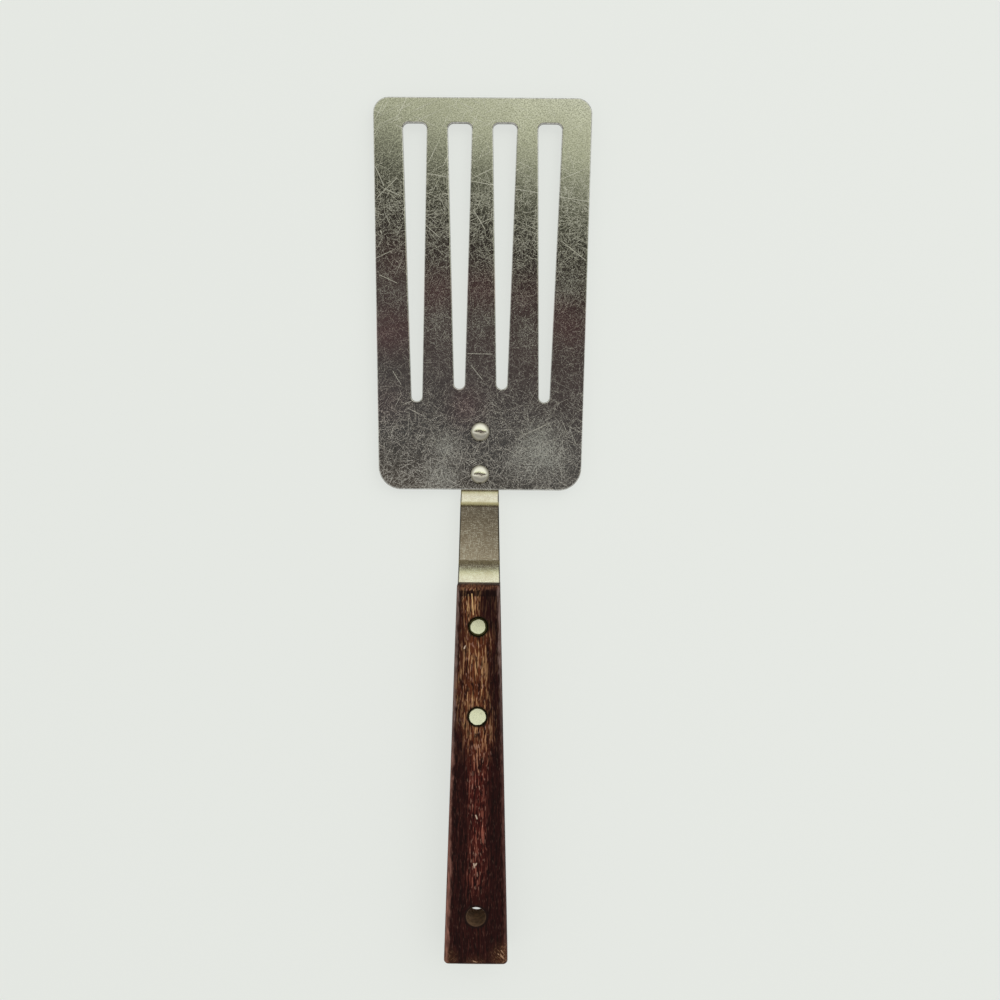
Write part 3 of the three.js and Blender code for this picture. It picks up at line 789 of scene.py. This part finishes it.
def make_handle():
    """The wooden block: rounded rectangles lofted along Y. Near both ends the sides, the back and the front
    are drawn in by quarter circles, more at the front of the mouth, and the front is slightly crowned."""
    from_mouth = np.concatenate([
        HANDLE_MOUTH_FRONT_RADIUS * END_STATIONS[:-1],
        np.linspace(HANDLE_MOUTH_FRONT_RADIUS, HANDLE_LENGTH - HANDLE_END_RADIUS, HANDLE_STATIONS),
        HANDLE_LENGTH - HANDLE_END_RADIUS * END_STATIONS[-2::-1],
    ])
    from_mouth = np.concatenate([from_mouth[:1], from_mouth, from_mouth[-1:]])
    butt = end_rounding(HANDLE_LENGTH - from_mouth, HANDLE_END_RADIUS)
    butt[[0, -1]] += END_RING_INSET
    side = end_rounding(from_mouth, HANDLE_MOUTH_SIDE_RADIUS) + butt
    back = end_rounding(from_mouth, HANDLE_END_RADIUS) + butt
    front = end_rounding(from_mouth, HANDLE_MOUTH_FRONT_RADIUS) + butt
    y = MOUTH_Y - from_mouth
    half_width = handle_width(y) / 2 - side
    low, high = HANDLE_LOW.z + back, HANDLE_HIGH.z - front
    corner = np.interp(back, [0, HANDLE_END_RADIUS], [HANDLE_EDGE_RADIUS, HANDLE_END_CORNER_RADIUS])
    sections = rounded_sections(half_width, low, high, corner)
    x, z = sections[..., 0], sections[..., 1]
    upper = z > HANDLE_LOW.z + HANDLE_THICKNESS / 2
    z = z - HANDLE_CROWN * upper * (x / half_width[:, None]) ** 2
    handle = lofted_piece("handle_wood_block", together(x, y[:, None], z))
    carve(handle, [tang_slot(), *map(rivet_seat, FRONT_RIVETS), hang_hole()])
    return handle


def turned_rivet(node, *stretches):
    """A rivet from the stretches of its profile, turned about its own axis."""
    return turned_piece(f"{node}_turned", np.concatenate(stretches), rivet_y(node))


def make_blade_rivet(node):
    """A solid rivet: a crowned tail, a stem, and a domed head on a short rim. The dome's drop grows with a
    power of the radius, which leaves its top a little flattened, as by a hammer."""
    low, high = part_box(node)
    head = head_radius(node)
    stem = BLADE_RIVET_STEM_DIAMETER / 2
    tail = BLADE_RIVET_TAIL_DIAMETER / 2
    edge = BLADE_RIVET_TAIL_EDGE
    seat, shoulder = BLADE_HIGH.z, BLADE_LOW.z - SHANK_THICKNESS
    rim_top = seat + BLADE_RIVET_RIM_HEIGHT
    radius = head * np.sin(np.linspace(np.pi / 2, 0, DOME_STEPS))
    return turned_rivet(
        node,
        [(0, low.z)],
        arc((tail - edge, low.z + BLADE_RIVET_TAIL_CROWN + edge), edge, 270, 360),
        [(tail, shoulder), (stem, shoulder), (stem, seat), (head, seat)],
        together(radius, high.z - (high.z - rim_top) * (radius / head) ** DOME_FLATNESS),
    )


def rivet_face(head, level, way):
    """Profile of a flush rivet's outer face, from its rim to its axis: an eased rim and a slight crown.
    Its height is laid off from the level of the wood, and way is 1 at the front and -1 at the back."""
    rim = arc((head - HANDLE_RIVET_RIM_RADIUS, -HANDLE_RIVET_RIM_RADIUS), HANDLE_RIVET_RIM_RADIUS, 0, 90)
    rim[:, 1] -= HANDLE_RIVET_CROWN
    radius = np.linspace(head - HANDLE_RIVET_RIM_RADIUS, 0, CORNER_STEPS)[1:]
    crown = together(radius, -HANDLE_RIVET_CROWN * (radius / head) ** 2)
    return np.concatenate([rim, crown]) * np.array([1, way]) + np.array([0, level])


def make_rivet_front(node):
    """Front half of a flush rivet: a head level with the wood, and a solid stem that ends in the tube."""
    low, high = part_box(node)
    head = head_radius(node)
    stem = HANDLE_RIVET_STEM_DIAMETER / 2
    seat = high.z - HANDLE_RIVET_HEAD_THICKNESS
    shaft = [(0, low.z), (stem, low.z), (stem, seat), (head, seat)]
    return turned_rivet(node, shaft, rivet_face(head, high.z, 1))


def make_rivet_back(node):
    """Back half of a flush rivet: a head level with the wood, and a tube for the front half's stem."""
    low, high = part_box(node)
    head = head_radius(node)
    outside = HANDLE_RIVET_TUBE_DIAMETER / 2
    inside = HANDLE_RIVET_STEM_DIAMETER / 2 + FIT_CLEARANCE
    seat = low.z + HANDLE_RIVET_HEAD_THICKNESS
    tube = [(head, seat), (outside, seat), (outside, high.z), (inside, high.z), (inside, seat), (0, seat)]
    return turned_rivet(node, rivet_face(head, low.z, -1)[::-1], tube)


class Nodes:
    """A tree of shader nodes, with short calls for the kinds that the looks here are made of."""

    def __init__(self, tree):
        self.tree = tree

    def node(self, kind, inputs, **settings):
        """Adds a node, and feeds each input with a value or with another node's output."""
        made = self.tree.nodes.new(kind)
        for key, value in settings.items():
            setattr(made, key, value)
        for key, value in inputs.items():
            self.feed(made.inputs[key], value)
        return made

    def feed(self, socket, value):
        """Links an output to an input, or sets the input's own value."""
        if isinstance(value, bpy.types.NodeSocket):
            self.tree.links.new(value, socket)
        else:
            socket.default_value = value

    def parts(self, vector):
        """The x, y and z of a vector."""
        return self.node("ShaderNodeSeparateXYZ", {0: vector}).outputs

    def math(self, operation, first, second=0.0):
        """One sum on two numbers."""
        return self.node("ShaderNodeMath", {0: first, 1: second}, operation=operation).outputs[0]

    def vector(self, operation, inputs, output="Vector"):
        """One sum on vectors."""
        return self.node("ShaderNodeVectorMath", inputs, operation=operation).outputs[output]

    def product(self, *factors):
        """The factors multiplied together."""
        result = factors[0]
        for factor in factors[1:]:
            result = self.math("MULTIPLY", result, factor)
        return result

    def most(self, masks):
        """At each point the largest of several numbers."""
        result = 0.0
        for mask in masks:
            result = self.math("MAXIMUM", result, mask)
        return result

    def remap(self, value, low, high, to_low=0.0, to_high=1.0, ease="SMOOTHSTEP"):
        """Eases a number from one range into another, and holds it there."""
        inputs = {"Value": value, "From Min": low, "From Max": high, "To Min": to_low, "To Max": to_high}
        return self.node("ShaderNodeMapRange", inputs, interpolation_type=ease).outputs[0]

    def between(self, share, low, high):
        """Eases from low to high as a share goes from 0 to 1."""
        return self.remap(share, 0.0, 1.0, low, high)

    def band(self, value, start, full, fade, end):
        """1 from full to fade, easing from 0 at the start and to 0 at the end."""
        return self.product(self.remap(value, start, full), self.remap(value, end, fade))

    def blend(self, factor, first, second):
        """Mixes two colours, which are the node's inputs 6 and 7, into its output 2."""
        inputs = {"Factor": factor, 6: first, 7: second}
        return self.node("ShaderNodeMix", inputs, data_type="RGBA").outputs[2]

    def coats(self, base, *layers):
        """Lays (mask, colour) coats over a base colour, one after the other."""
        for mask, tone in layers:
            base = self.blend(mask, base, tone)
        return base

    def bump(self, height, distance):
        """Surface normal for a height between 0 and 1 that is worth distance."""
        return self.node("ShaderNodeBump", {"Height": height, "Distance": distance}).outputs[0]


class Finish(Nodes):
    """A material with its shader. A point's place on the piece, and its x, y and z, are in millimetres."""

    def __init__(self, name):
        self.material = bpy.data.materials.new(name)
        self.material.use_nodes = True
        super().__init__(self.material.node_tree)
        self.shader = self.tree.nodes["Principled BSDF"]
        metres = self.node("ShaderNodeTexCoord", {}).outputs["Object"]
        self.place = self.vector("SCALE", {0: metres, "Scale": 1 / MM})
        self.x, self.y, self.z = self.parts(self.place)

    def set(self, **inputs):
        """Sets the shader's inputs, with underscores for the spaces in their names."""
        for key, value in inputs.items():
            self.feed(self.shader.inputs[key.replace("_", " ")], value)

    def metal(self, base, rough, height, relief):
        """Makes the shader a bare metal with a relief, and gives the material."""
        self.set(Base_Color=base, Metallic=1.0, Roughness=rough, Normal=self.bump(height, relief))
        return self.material

    def noise(self, size, detail=NOISE_DETAIL, start=(0.0, 0.0, 0.0), angle=0.0, place=None):
        """Smooth noise between 0 and 1, with features of about that size, turned about Z by degrees."""
        turn = (0.0, 0.0, math.radians(angle))
        inputs = {"Vector": place or self.place, "Location": start, "Rotation": turn, "Scale": size}
        laid = self.node("ShaderNodeMapping", inputs, vector_type="TEXTURE").outputs[0]
        made = self.node("ShaderNodeTexNoise", {"Vector": laid, "Scale": 1.0, "Detail": detail})
        return made.outputs["Fac"]

    def waver(self, size, reach):
        """Noise that wavers about 0, by reach to either side."""
        return self.remap(self.noise(size), *NOISE_SPAN, -reach, reach)

    def strokes(self, size, angles, levels):
        """Short strokes in several directions: at each point the strongest of a few noises, each of them
        stretched along its own direction and eased in between two levels."""
        layers = []
        for index, angle in enumerate(angles):
            layer = self.noise(size, STROKE_DETAIL, (0.0, 0.0, STROKE_STEP * index), angle)
            layers.append(self.remap(layer, *levels))
        return self.most(layers)

    def apart(self, first, second):
        """The distance between two points."""
        return self.vector("DISTANCE", {0: first, 1: second}, "Value")

    def spots(self, patches, z):
        """Patches of (x, y, radius, strength), each with its strength at the centre and 0 at its radius."""
        layers = []
        for x, y, radius, strength in patches:
            layers.append(self.remap(self.apart(self.place, (x, y, z)), radius, 0.0, 0.0, strength))
        return self.most(layers)

    def lines(self, ends, z, width, place=None):
        """1 along each straight line, easing to 0 at its width. The nearest point is a share of the way:
        the gap from the start, dotted with the way, over the way's squared length, and held in 0 to 1."""
        layers = []
        for start, end in ends:
            start, end = np.array((*start, z)), np.array((*end, z))
            way = end - start
            gap = self.vector("SUBTRACT", {0: place or self.place, 1: start})
            share = self.vector("DOT_PRODUCT", {0: gap, 1: way / (way @ way)}, "Value")
            held = self.node("ShaderNodeClamp", {"Value": share}).outputs[0]
            nearest = self.vector("SCALE", {0: way, "Scale": held})
            layers.append(self.remap(self.apart(gap, nearest), width, 0.0))
        return self.most(layers)

    def from_axis(self, y):
        """The distance from the line parallel to Z at the given y."""
        plan = self.node("ShaderNodeCombineXYZ", {0: self.x, 1: self.y}).outputs[0]
        return self.apart(plan, (0.0, y, 0.0))

    def from_rim(self, node):
        """How far a point lies outside a rivet's head: its distance from the axis, less the radius."""
        return self.math("SUBTRACT", self.from_axis(rivet_y(node) / MM), head_radius(node) / MM)

    def beyond_side(self, start, end):
        """How far a point lies outside a piece's tapered sides: its distance from the middle plane, less
        the half width, which goes evenly from one (y, half width) to another."""
        half_width = self.remap(self.y, start[0], end[0], start[1], end[1], ease="LINEAR")
        return self.math("SUBTRACT", self.math("ABSOLUTE", self.x), half_width)


def scratched_steel():
    """Stainless sheet: a specked satin ground with short light strokes in all directions, longer hairlines,
    deep scratches, dents, hazy patches, reddish heat tints that are partly a painted reflection, painted
    shade on the cut edges and a dark ring round each rivet. The ground is painted lighter towards the tip,
    as painted light. Strokes are rougher than the ground, weaker in a calm zone, and the fine ones weaker
    at the tip too."""
    finish = Finish("scratched_steel")
    front, back = BLADE_HIGH.z / MM, BLADE_LOW.z / MM
    front_edge, back_edge = BLADE_FRONT_EDGE_RADIUS / MM, BLADE_BACK_EDGE_RADIUS / MM
    wall = (back + back_edge / 2, back + back_edge, front - front_edge, front - front_edge / 2)
    speck = finish.remap(finish.noise(SPECK), *SPECK_LEVELS, ease="LINEAR")
    cloud = finish.noise(*CLOUD)
    tip = finish.remap(finish.y, *SMOOTH_LIT_TIP)
    from_calm = finish.math("ABSOLUTE", finish.math("SUBTRACT", finish.y, CALM_PLACE))
    calm = finish.remap(from_calm, *CALM_REACH)
    fine = finish.product(
        finish.strokes(*FINE_STROKES),
        finish.between(speck, *STROKE_SPECK),
        finish.remap(calm, *STROKE_CALM),
        finish.between(tip, *STROKE_TIP),
    )
    hair = finish.product(finish.strokes(*HAIRLINES), calm)
    deep = finish.lines(DEEP_SCRATCHES, front, SCRATCH_WIDTH)
    dents = finish.product(finish.lines(DENTS, front, DENT_WIDTH), finish.remap(speck, *DENT_SPECK))
    haze = finish.product(finish.spots(HAZE_PATCHES, front), finish.remap(cloud, *HAZE_CLOUD))
    tint_and_reflection = finish.product(finish.spots(HEAT_TINTS_AND_REFLECTIONS, front), finish.remap(cloud, *TINT_CLOUD))
    # darkens a ring round each rivet's foot
    rivet_ring = finish.most([finish.remap(finish.from_rim(node), *RIVET_RING_EDGE) for node in BLADE_RIVETS])
    # the ground's lift towards the tip is painted light
    specked = finish.product(speck, finish.between(tip, *GROUND_SPECK_TIP_LIGHT))
    ground = finish.math("ADD", specked, finish.product(fine, GROUND_STROKE))
    base = finish.coats(
        finish.blend(ground, SHEET_DARK, SHEET_LIGHT),
        (finish.remap(cloud, *CLOUD_SHARE), SHEET_CLOUD),
        # heat tints, partly a painted reddish reflection
        (finish.product(tint_and_reflection, TINT_SHARE), SHEET_TINT_AND_REFLECTION),
        (finish.product(haze, HAZE_SHARE), SHEET_HAZE),
        (finish.most([hair, finish.product(deep, SCRATCH_SHARE), dents]), SHEET_STROKE),
        (finish.product(rivet_ring, finish.remap(speck, *RIVET_RING_SPECK)), SHEET_RIVET_RING),
        # painted shade on the cut walls and edge roundings
        (finish.band(finish.z, *wall), SHEET_WALL_SHADE),
    )
    worn = finish.most([finish.product(fine, STROKE_DEPTH), hair, deep, dents])
    hazy = finish.product(haze, finish.between(speck, *HAZE_SPECK), HAZE_ROUGHNESS)
    rough = finish.math("ADD", finish.between(speck, *SHEET_ROUGHNESS), hazy)
    return finish.metal(base, finish.between(worn, rough, STROKE_ROUGHNESS), worn, SHEET_RELIEF)


def strip_steel():
    """Satin strip: fine strokes across it, faint stains, rougher bends with painted shade at their ends,
    the blade heel's painted shadow, and painted shade along the side edges.
    """
    finish = Finish("strip_steel")
    fine = finish.strokes(*STRIP_STROKES)
    mouth_half = (HANDLE_TOP_WIDTH / 2 - TANG_SIDE_INSET) / MM
    front_half = SHANK_FRONT_WIDTH / 2 / MM
    side = finish.beyond_side((MOUTH_Y / MM, mouth_half), (SHANK_HIGH.y / MM, front_half))
    bends = (HEEL_Y, first_step(0.0)[-1, 0], MOUTH_Y + SECOND_STEP_REACH)
    from_heel, from_first, from_second = (finish.math("SUBTRACT", finish.y, y / MM) for y in bends)
    # painted shade: the blade heel's shadow and the bends' ends
    bend_shade = finish.most([
        finish.remap(from_heel, *HEEL_SHADOW),
        finish.band(from_first, *FIRST_BEND_SHADE),
        finish.band(from_second, *SECOND_BEND_SHADE),
    ])
    bent = finish.most([
        finish.remap(from_first, 0.0, BEND_EASING),
        finish.remap(from_second, 0.0, -BEND_EASING),
    ])
    base = finish.coats(
        finish.blend(fine, STRIP_DARK, STRIP_LIGHT),
        (finish.remap(finish.noise(*STAIN), *STAIN_SHARE), STRIP_STAIN),
        # painted shade along the side edges
        (finish.remap(side, *STRIP_EDGE_SHADE_SHARE), STRIP_EDGE_SHADE),
        (finish.product(bend_shade, BEND_SHADE_SHARE), BEND_SHADE),
    )
    rough = finish.math("ADD", finish.between(fine, *STRIP_ROUGHNESS), finish.product(bent, BEND_ROUGHNESS))
    return finish.metal(base, rough, fine, STRIP_RELIEF)


def polished_steel():
    """Bright domes with wiping marks and small dents, darker towards the foot, and painted shade on the
    half towards the handle.
    """
    finish = Finish("polished_steel")
    foot = (BLADE_HIGH.z + BLADE_RIVET_RIM_HEIGHT) / MM
    # painted shade on the half of each dome towards the handle
    lower_shade = []
    for node in BLADE_RIVETS:
        from_middle = finish.math("SUBTRACT", finish.y, rivet_y(node) / MM)
        lower_shade.append(finish.band(from_middle, *DOME_LOWER_SHADE_BAND))
    # darker towards the dome's foot
    darker_foot = finish.remap(finish.z, foot + DOME_FOOT_DARK_HEIGHT, foot, 0.0, DOME_FOOT_DARK_SHARE)
    base = finish.coats(DOME_BRIGHT, (finish.most(lower_shade), DOME_LOWER_SHADE), (darker_foot, DOME_FOOT_DARK))
    rough = finish.between(finish.strokes(*DOME_WIPING), *DOME_ROUGHNESS)
    return finish.metal(base, rough, finish.noise(*DOME_DENTS), DOME_RELIEF)


def pale_brass():
    """Flush rivets of pale brass, ground with the wood: cross scratches, tarnish and a ragged dark rim."""
    finish = Finish("pale_brass")
    fine = finish.strokes(*BRASS_GRINDING)
    cloud = finish.noise(*TARNISH)
    ragged = finish.remap(cloud, *BRASS_RAGGED)
    middle = []
    for node, inset in zip(FRONT_RIVETS, BRASS_RIM_INSETS):
        beyond = finish.math("ADD", finish.from_rim(node), ragged)
        middle.append(finish.remap(beyond, -inset, -inset - BRASS_RIM_WIDTH))
    ground = finish.blend(fine, BRASS_DARK, BRASS_LIGHT)
    tarnished = finish.blend(finish.remap(cloud, *TARNISH_SHARE), ground, BRASS_TARNISH)
    base = finish.blend(finish.most(middle), BRASS_RIM, tarnished)
    return finish.metal(base, finish.between(fine, *BRASS_ROUGHNESS), fine, BRASS_RELIEF)


def wood_heart(finish):
    """How far a point is in the lighter heart zone, from 0 to 1, and how far in the redder part towards the
    butt. The zone drifts from side to side, is narrower further down, and fades out before the butt."""
    redder = finish.remap(finish.y, *HEART_TURN)
    top = finish.remap(finish.y, *HEART_TOP)
    centre = finish.between(redder, *HEART_CENTRES)
    centre = finish.math("SUBTRACT", centre, finish.product(top, HEART_TOP_SHIFT))
    half_width = finish.between(redder, *HEART_HALF_WIDTHS)
    half_width = finish.math("SUBTRACT", half_width, finish.product(top, HEART_TOP_NARROWING))
    drifted = finish.math("ADD", finish.x, finish.waver(HEART_WAVE, HEART_DRIFT))
    offset = finish.math("ABSOLUTE", finish.math("SUBTRACT", drifted, centre))
    zone = finish.remap(finish.math("DIVIDE", offset, half_width), *HEART_EDGE)
    fade, shade = finish.remap(finish.y, *HEART_FADE), finish.remap(finish.y, *MOUTH_SHADE)
    return finish.product(zone, fade, shade), redder


def along_grain(finish):
    """Places that sway a little from side to side along the grain."""
    swayed = finish.math("ADD", finish.x, finish.waver(SWAY_WAVE, SWAY))
    return finish.node("ShaderNodeCombineXYZ", {0: swayed, 1: finish.y, 2: finish.z}).outputs[0]


def wood_wear_and_sheen(finish, base, redder, thread):
    """Lightens the long edges, where the wood is worn and a painted sheen stands for their reflection, and
    the butt's corners, where the wood is rubbed bare. The edges are lightened most on the left, and widest
    there towards the butt."""
    front, half = HANDLE_HIGH.z / MM, HANDLE_THICKNESS / 2 / MM
    butt_half, mouth_half = HANDLE_BUTT_WIDTH / 2 / MM, HANDLE_TOP_WIDTH / 2 / MM
    side = finish.beyond_side((BUTT_Y / MM, butt_half), (MOUTH_Y / MM, mouth_half))
    wider = finish.product(finish.remap(finish.y, *EDGE_WIDENING), finish.remap(finish.x, *EDGE_WIDER))
    side = finish.math("ADD", side, finish.math("ADD", wider, finish.waver(EDGE_WAVE, EDGE_RAGGED)))
    level = finish.math("ABSOLUTE", finish.math("SUBTRACT", finish.z, front - half))
    # worn edges with a painted sheen
    edge = finish.product(
        finish.remap(side, *EDGE_WIDTH),
        finish.remap(finish.math("SUBTRACT", level, half), *EDGE_DEPTH),
        finish.remap(finish.x, *EDGE_FROM_LEFT, 1.0, finish.remap(finish.y, *EDGE_RIGHT_SHARE)),
        finish.remap(thread, *EDGE_THREAD),
    )
    rub = finish.spots(BUTT_WEAR, front)
    scuff = finish.strokes(*BUTT_STROKES)
    scratch = finish.lines(BUTT_SCRATCHES, front, BUTT_SCRATCH_WIDTH)
    return finish.coats(
        base,
        (edge, finish.blend(redder, EDGE_WEAR_SHEEN_UPPER, EDGE_WEAR_SHEEN_LOWER)),
        (finish.product(rub, BUTT_BARE_SHARE), BUTT_BARE),
        (finish.product(scuff, finish.remap(rub, *BUTT_SCUFF_SHARE)), BUTT_SCUFF),
        (finish.product(scratch, finish.remap(thread, *BUTT_SCRATCH_THREAD)), BUTT_SCRATCH),
    )


def wood_stains_and_hole_light(finish, base):
    """Darkens the wood round the flush rivets and the hanging hole, and colours the hole's wall as
    unstained wood, lighter with depth as painted light against the bore's shade. Gives the colour, and how
    far a point is on that wall."""
    stains = finish.most([finish.remap(finish.from_rim(node), *RIVET_STAIN_EDGE) for node in FRONT_RIVETS])
    rim = (HANG_HOLE_DIAMETER / 2 + HANG_HOLE_RIM_RADIUS) / MM
    away = finish.math("SUBTRACT", finish.from_axis(HANG_HOLE_Y / MM), rim)
    inside = finish.remap(away, *HOLE_WALL_EDGE)
    mottled = finish.remap(finish.noise(HOLE_WAVE), *NOISE_SPAN, *HOLE_MOTTLE)
    depth = finish.math("SUBTRACT", finish.z, HANDLE_HIGH.z / MM)
    base = finish.coats(
        base,
        (finish.product(stains, RIVET_STAIN_SHARE), RIVET_STAIN),
        # darkens the hanging hole's rim
        (finish.remap(away, *HOLE_RIM_DARK_EDGE), HOLE_RIM_DARK),
        # unstained wall with painted light, lighter with depth
        (finish.product(inside, mottled, finish.remap(depth, *HOLE_DEPTH_LIGHT)), HOLE_RAW_WOOD_AND_LIGHT),
    )
    return base, inside


def dark_wood():
    """Oiled dark wood, straight in the grain along Y. A lighter heart zone is golden near the mouth and
    redder further down. Light streaks, dark pores and flecks follow the grain, the edges are worn and carry
    a painted sheen, the mouth's rounded edge is worn and has a painted highlight, the rivet holes are
    stained, the hanging hole's rim is darkened, and its wall is unstained wood with painted light."""
    finish = Finish("dark_wood")
    heart, redder = wood_heart(finish)
    grain = along_grain(finish)
    fibres = (STREAK, THREAD, FLECK, PORE)
    streak, thread, fleck, pore = (finish.noise(*fibre, place=grain) for fibre in fibres)
    streaked = finish.product(finish.remap(streak, *STREAK_LEVELS), finish.between(heart, *STREAK_SHARES))
    threaded = finish.product(finish.remap(thread, *THREAD_LEVELS), finish.between(heart, *THREAD_SHARES))
    flecked = finish.product(finish.remap(fleck, *FLECK_LEVELS), finish.between(heart, *FLECK_SHARES))
    shaded = finish.product(finish.band(finish.y, *MOUTH_BAND), finish.remap(thread, *MOUTH_BAND_SHARE))
    # worn flecks and a painted highlight on the mouth's rounded edge
    rubbed_highlight = finish.product(finish.band(finish.y, *MOUTH_EDGE), finish.remap(fleck, *MOUTH_WEAR_HIGHLIGHT_SHARE))
    streak_colour = finish.blend(redder, STREAK_UPPER, STREAK_LOWER)
    base = finish.coats(
        WOOD_DARK,
        (heart, finish.blend(redder, HEART_UPPER, HEART_LOWER)),
        (streaked, streak_colour),
        (threaded, streak_colour),
        (finish.remap(streak, *DARK_STREAK), WOOD_PORE),
        (finish.remap(pore, *PORE_LEVELS, 0.0, PORE_SHARE), WOOD_PORE),
        (flecked, FLECK_COLOUR),
        (shaded, WOOD_PORE),
        (rubbed_highlight, MOUTH_WEAR_HIGHLIGHT),
    )
    base = wood_wear_and_sheen(finish, base, redder, thread)
    marks = [
        (LIGHT_STREAKS, STREAK_WIDTH, finish.remap(thread, *LIGHT_STREAK_THREAD), LIGHT_STREAK),
        (FAINT_STREAKS, STREAK_WIDTH, finish.remap(pore, *FAINT_STREAK_PORE), FAINT_STREAK),
        (PALE_NICKS, NICK_WIDTH, finish.remap(fleck, *NICK_FLECK), NICK),
    ]
    for ends, width, broken, tone in marks:
        line = finish.lines(ends, HANDLE_HIGH.z / MM, width, grain)
        base = finish.blend(finish.product(line, broken), base, tone)
    base, inside = wood_stains_and_hole_light(finish, base)
    between_pores = finish.product(finish.remap(pore, *PORE_LEVELS[::-1]), PORE_DEPTH)
    relief = finish.bump(finish.math("ADD", streak, between_pores), WOOD_RELIEF)
    rough = finish.between(inside, finish.remap(streak, *NOISE_SPAN, *WOOD_ROUGHNESS), HOLE_ROUGHNESS)
    finish.set(Base_Color=base, Roughness=rough, Normal=relief, Specular_IOR_Level=WOOD_SPECULAR)
    return finish.material


def place_camera():
    """The camera looks down on the tool's front, from the photo's place, tilt, turn and roll."""
    flat = math.cos(CAMERA_TURN)
    ahead = Vector((math.sin(CAMERA_TURN), -math.sin(CAMERA_TILT) * flat, -math.cos(CAMERA_TILT) * flat))
    right = ahead.cross(Vector((0, 1, 0))).normalized()
    up = right.cross(ahead)
    rolled_right = right * math.cos(CAMERA_ROLL) + up * math.sin(CAMERA_ROLL)
    rolled_up = up * math.cos(CAMERA_ROLL) - right * math.sin(CAMERA_ROLL)
    lens = bpy.data.cameras.new("camera")
    lens.lens = CAMERA_LENS
    lens.sensor_width = CAMERA_SENSOR
    lens.clip_start = CAMERA_NEAR
    camera = add_object("camera", lens)
    turn = Matrix((rolled_right, rolled_up, -ahead)).transposed()
    camera.matrix_world = Matrix.Translation(CAMERA_PLACE) @ turn.to_4x4()
    bpy.context.scene.camera = camera


def light_studio():
    """A soft studio. The surroundings' brightness depends on the tilt from overhead towards the tip. Near
    overhead its bands lean a little to one side, and one large lamp stands on the right."""
    world = bpy.data.worlds.new("studio")
    bpy.context.scene.world = world
    world.use_nodes = True
    sky = Nodes(world.node_tree)
    x, y, z = sky.parts(sky.node("ShaderNodeTexCoord", {}).outputs["Generated"])
    across = sky.math("ARCTAN2", x, z)
    lean = sky.remap(across, -SKY_LEAN_REACH, SKY_LEAN_REACH, -SKY_LEAN, SKY_LEAN, ease="LINEAR")
    tilt = sky.math("ADD", sky.math("ARCTAN2", y, z), lean)
    ramp = sky.node("ShaderNodeValToRGB", {0: sky.remap(tilt, -math.pi / 2, math.pi / 2, ease="LINEAR")})
    stops = ramp.color_ramp.elements
    while len(stops) < len(SKY):
        stops.new(0.5)
    for stop, (degrees, *level) in zip(stops, SKY):
        stop.position = degrees / 180 + 0.5
        stop.color = (*level, 1)
    aside = sky.remap(sky.math("ABSOLUTE", across), SKY_SIDE_START, SKY_SIDE_END)
    light = sky.blend(aside, ramp.outputs[0], SKY_SIDE)
    sky.feed(sky.tree.nodes["Background"].inputs["Color"], light)
    key = bpy.data.lights.new("key", "AREA")
    key.size = KEY_SIZE
    key.energy = KEY_POWER
    lamp = add_object("key", key)
    lamp.visible_glossy = False
    lamp.location = KEY_PLACE
    lamp.rotation_euler = (-KEY_PLACE).to_track_quat("-Z", "Y").to_euler()


def lay_floor():
    """A plain pale floor just under the tool. Part of what the camera and reflections see of it is its own
    even tone, so its shadows stay soft."""
    finish = Finish("pale_floor")
    rays = finish.node("ShaderNodeLightPath", {}).outputs
    seen = finish.most([rays[f"Is {kind} Ray"] for kind in ("Camera", "Glossy", "Transmission")])
    finish.set(Base_Color=FLOOR_COLOUR, Roughness=FLOOR_ROUGHNESS, Specular_IOR_Level=0.0)
    even = finish.node("ShaderNodeEmission", {"Color": FLOOR_TONE}).outputs[0]
    share = finish.product(seen, FLOOR_EVENNESS)
    mixed = finish.node("ShaderNodeMixShader", {0: share, 1: finish.shader.outputs[0], 2: even}).outputs[0]
    finish.feed(finish.tree.nodes["Material Output"].inputs["Surface"], mixed)
    corners = np.array([[-1, -1, 0], [1, -1, 0], [1, 1, 0], [-1, 1, 0]]) * FLOOR_HALF
    corners = corners - np.array([0, 0, FLOOR_DROP])
    mesh = bpy.data.meshes.new("floor")
    mesh.from_pydata(corners.tolist(), [], [[0, 1, 2, 3]])
    mesh.materials.append(finish.material)
    floor = add_object("floor", mesh)


def dress(piece, node, material):
    """Gives a piece its material, and lets it stand for its solid."""
    piece.data.materials.clear()
    piece.data.materials.append(material)
    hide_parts(node)
    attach(piece, "root")


bright = polished_steel()
brass = pale_brass()
dress(make_blade(), "blade", scratched_steel())
dress(make_shank(), "shank", strip_steel())
dress(make_handle(), "handle", dark_wood())
for blade_rivet, front, back in zip(BLADE_RIVETS, FRONT_RIVETS, BACK_RIVETS):
    dress(make_blade_rivet(blade_rivet), blade_rivet, bright)
    dress(make_rivet_front(front), front, brass)
    dress(make_rivet_back(back), back, brass)

lay_floor()
light_studio()
place_camera()
bpy.context.scene.view_settings.view_transform = "Standard"
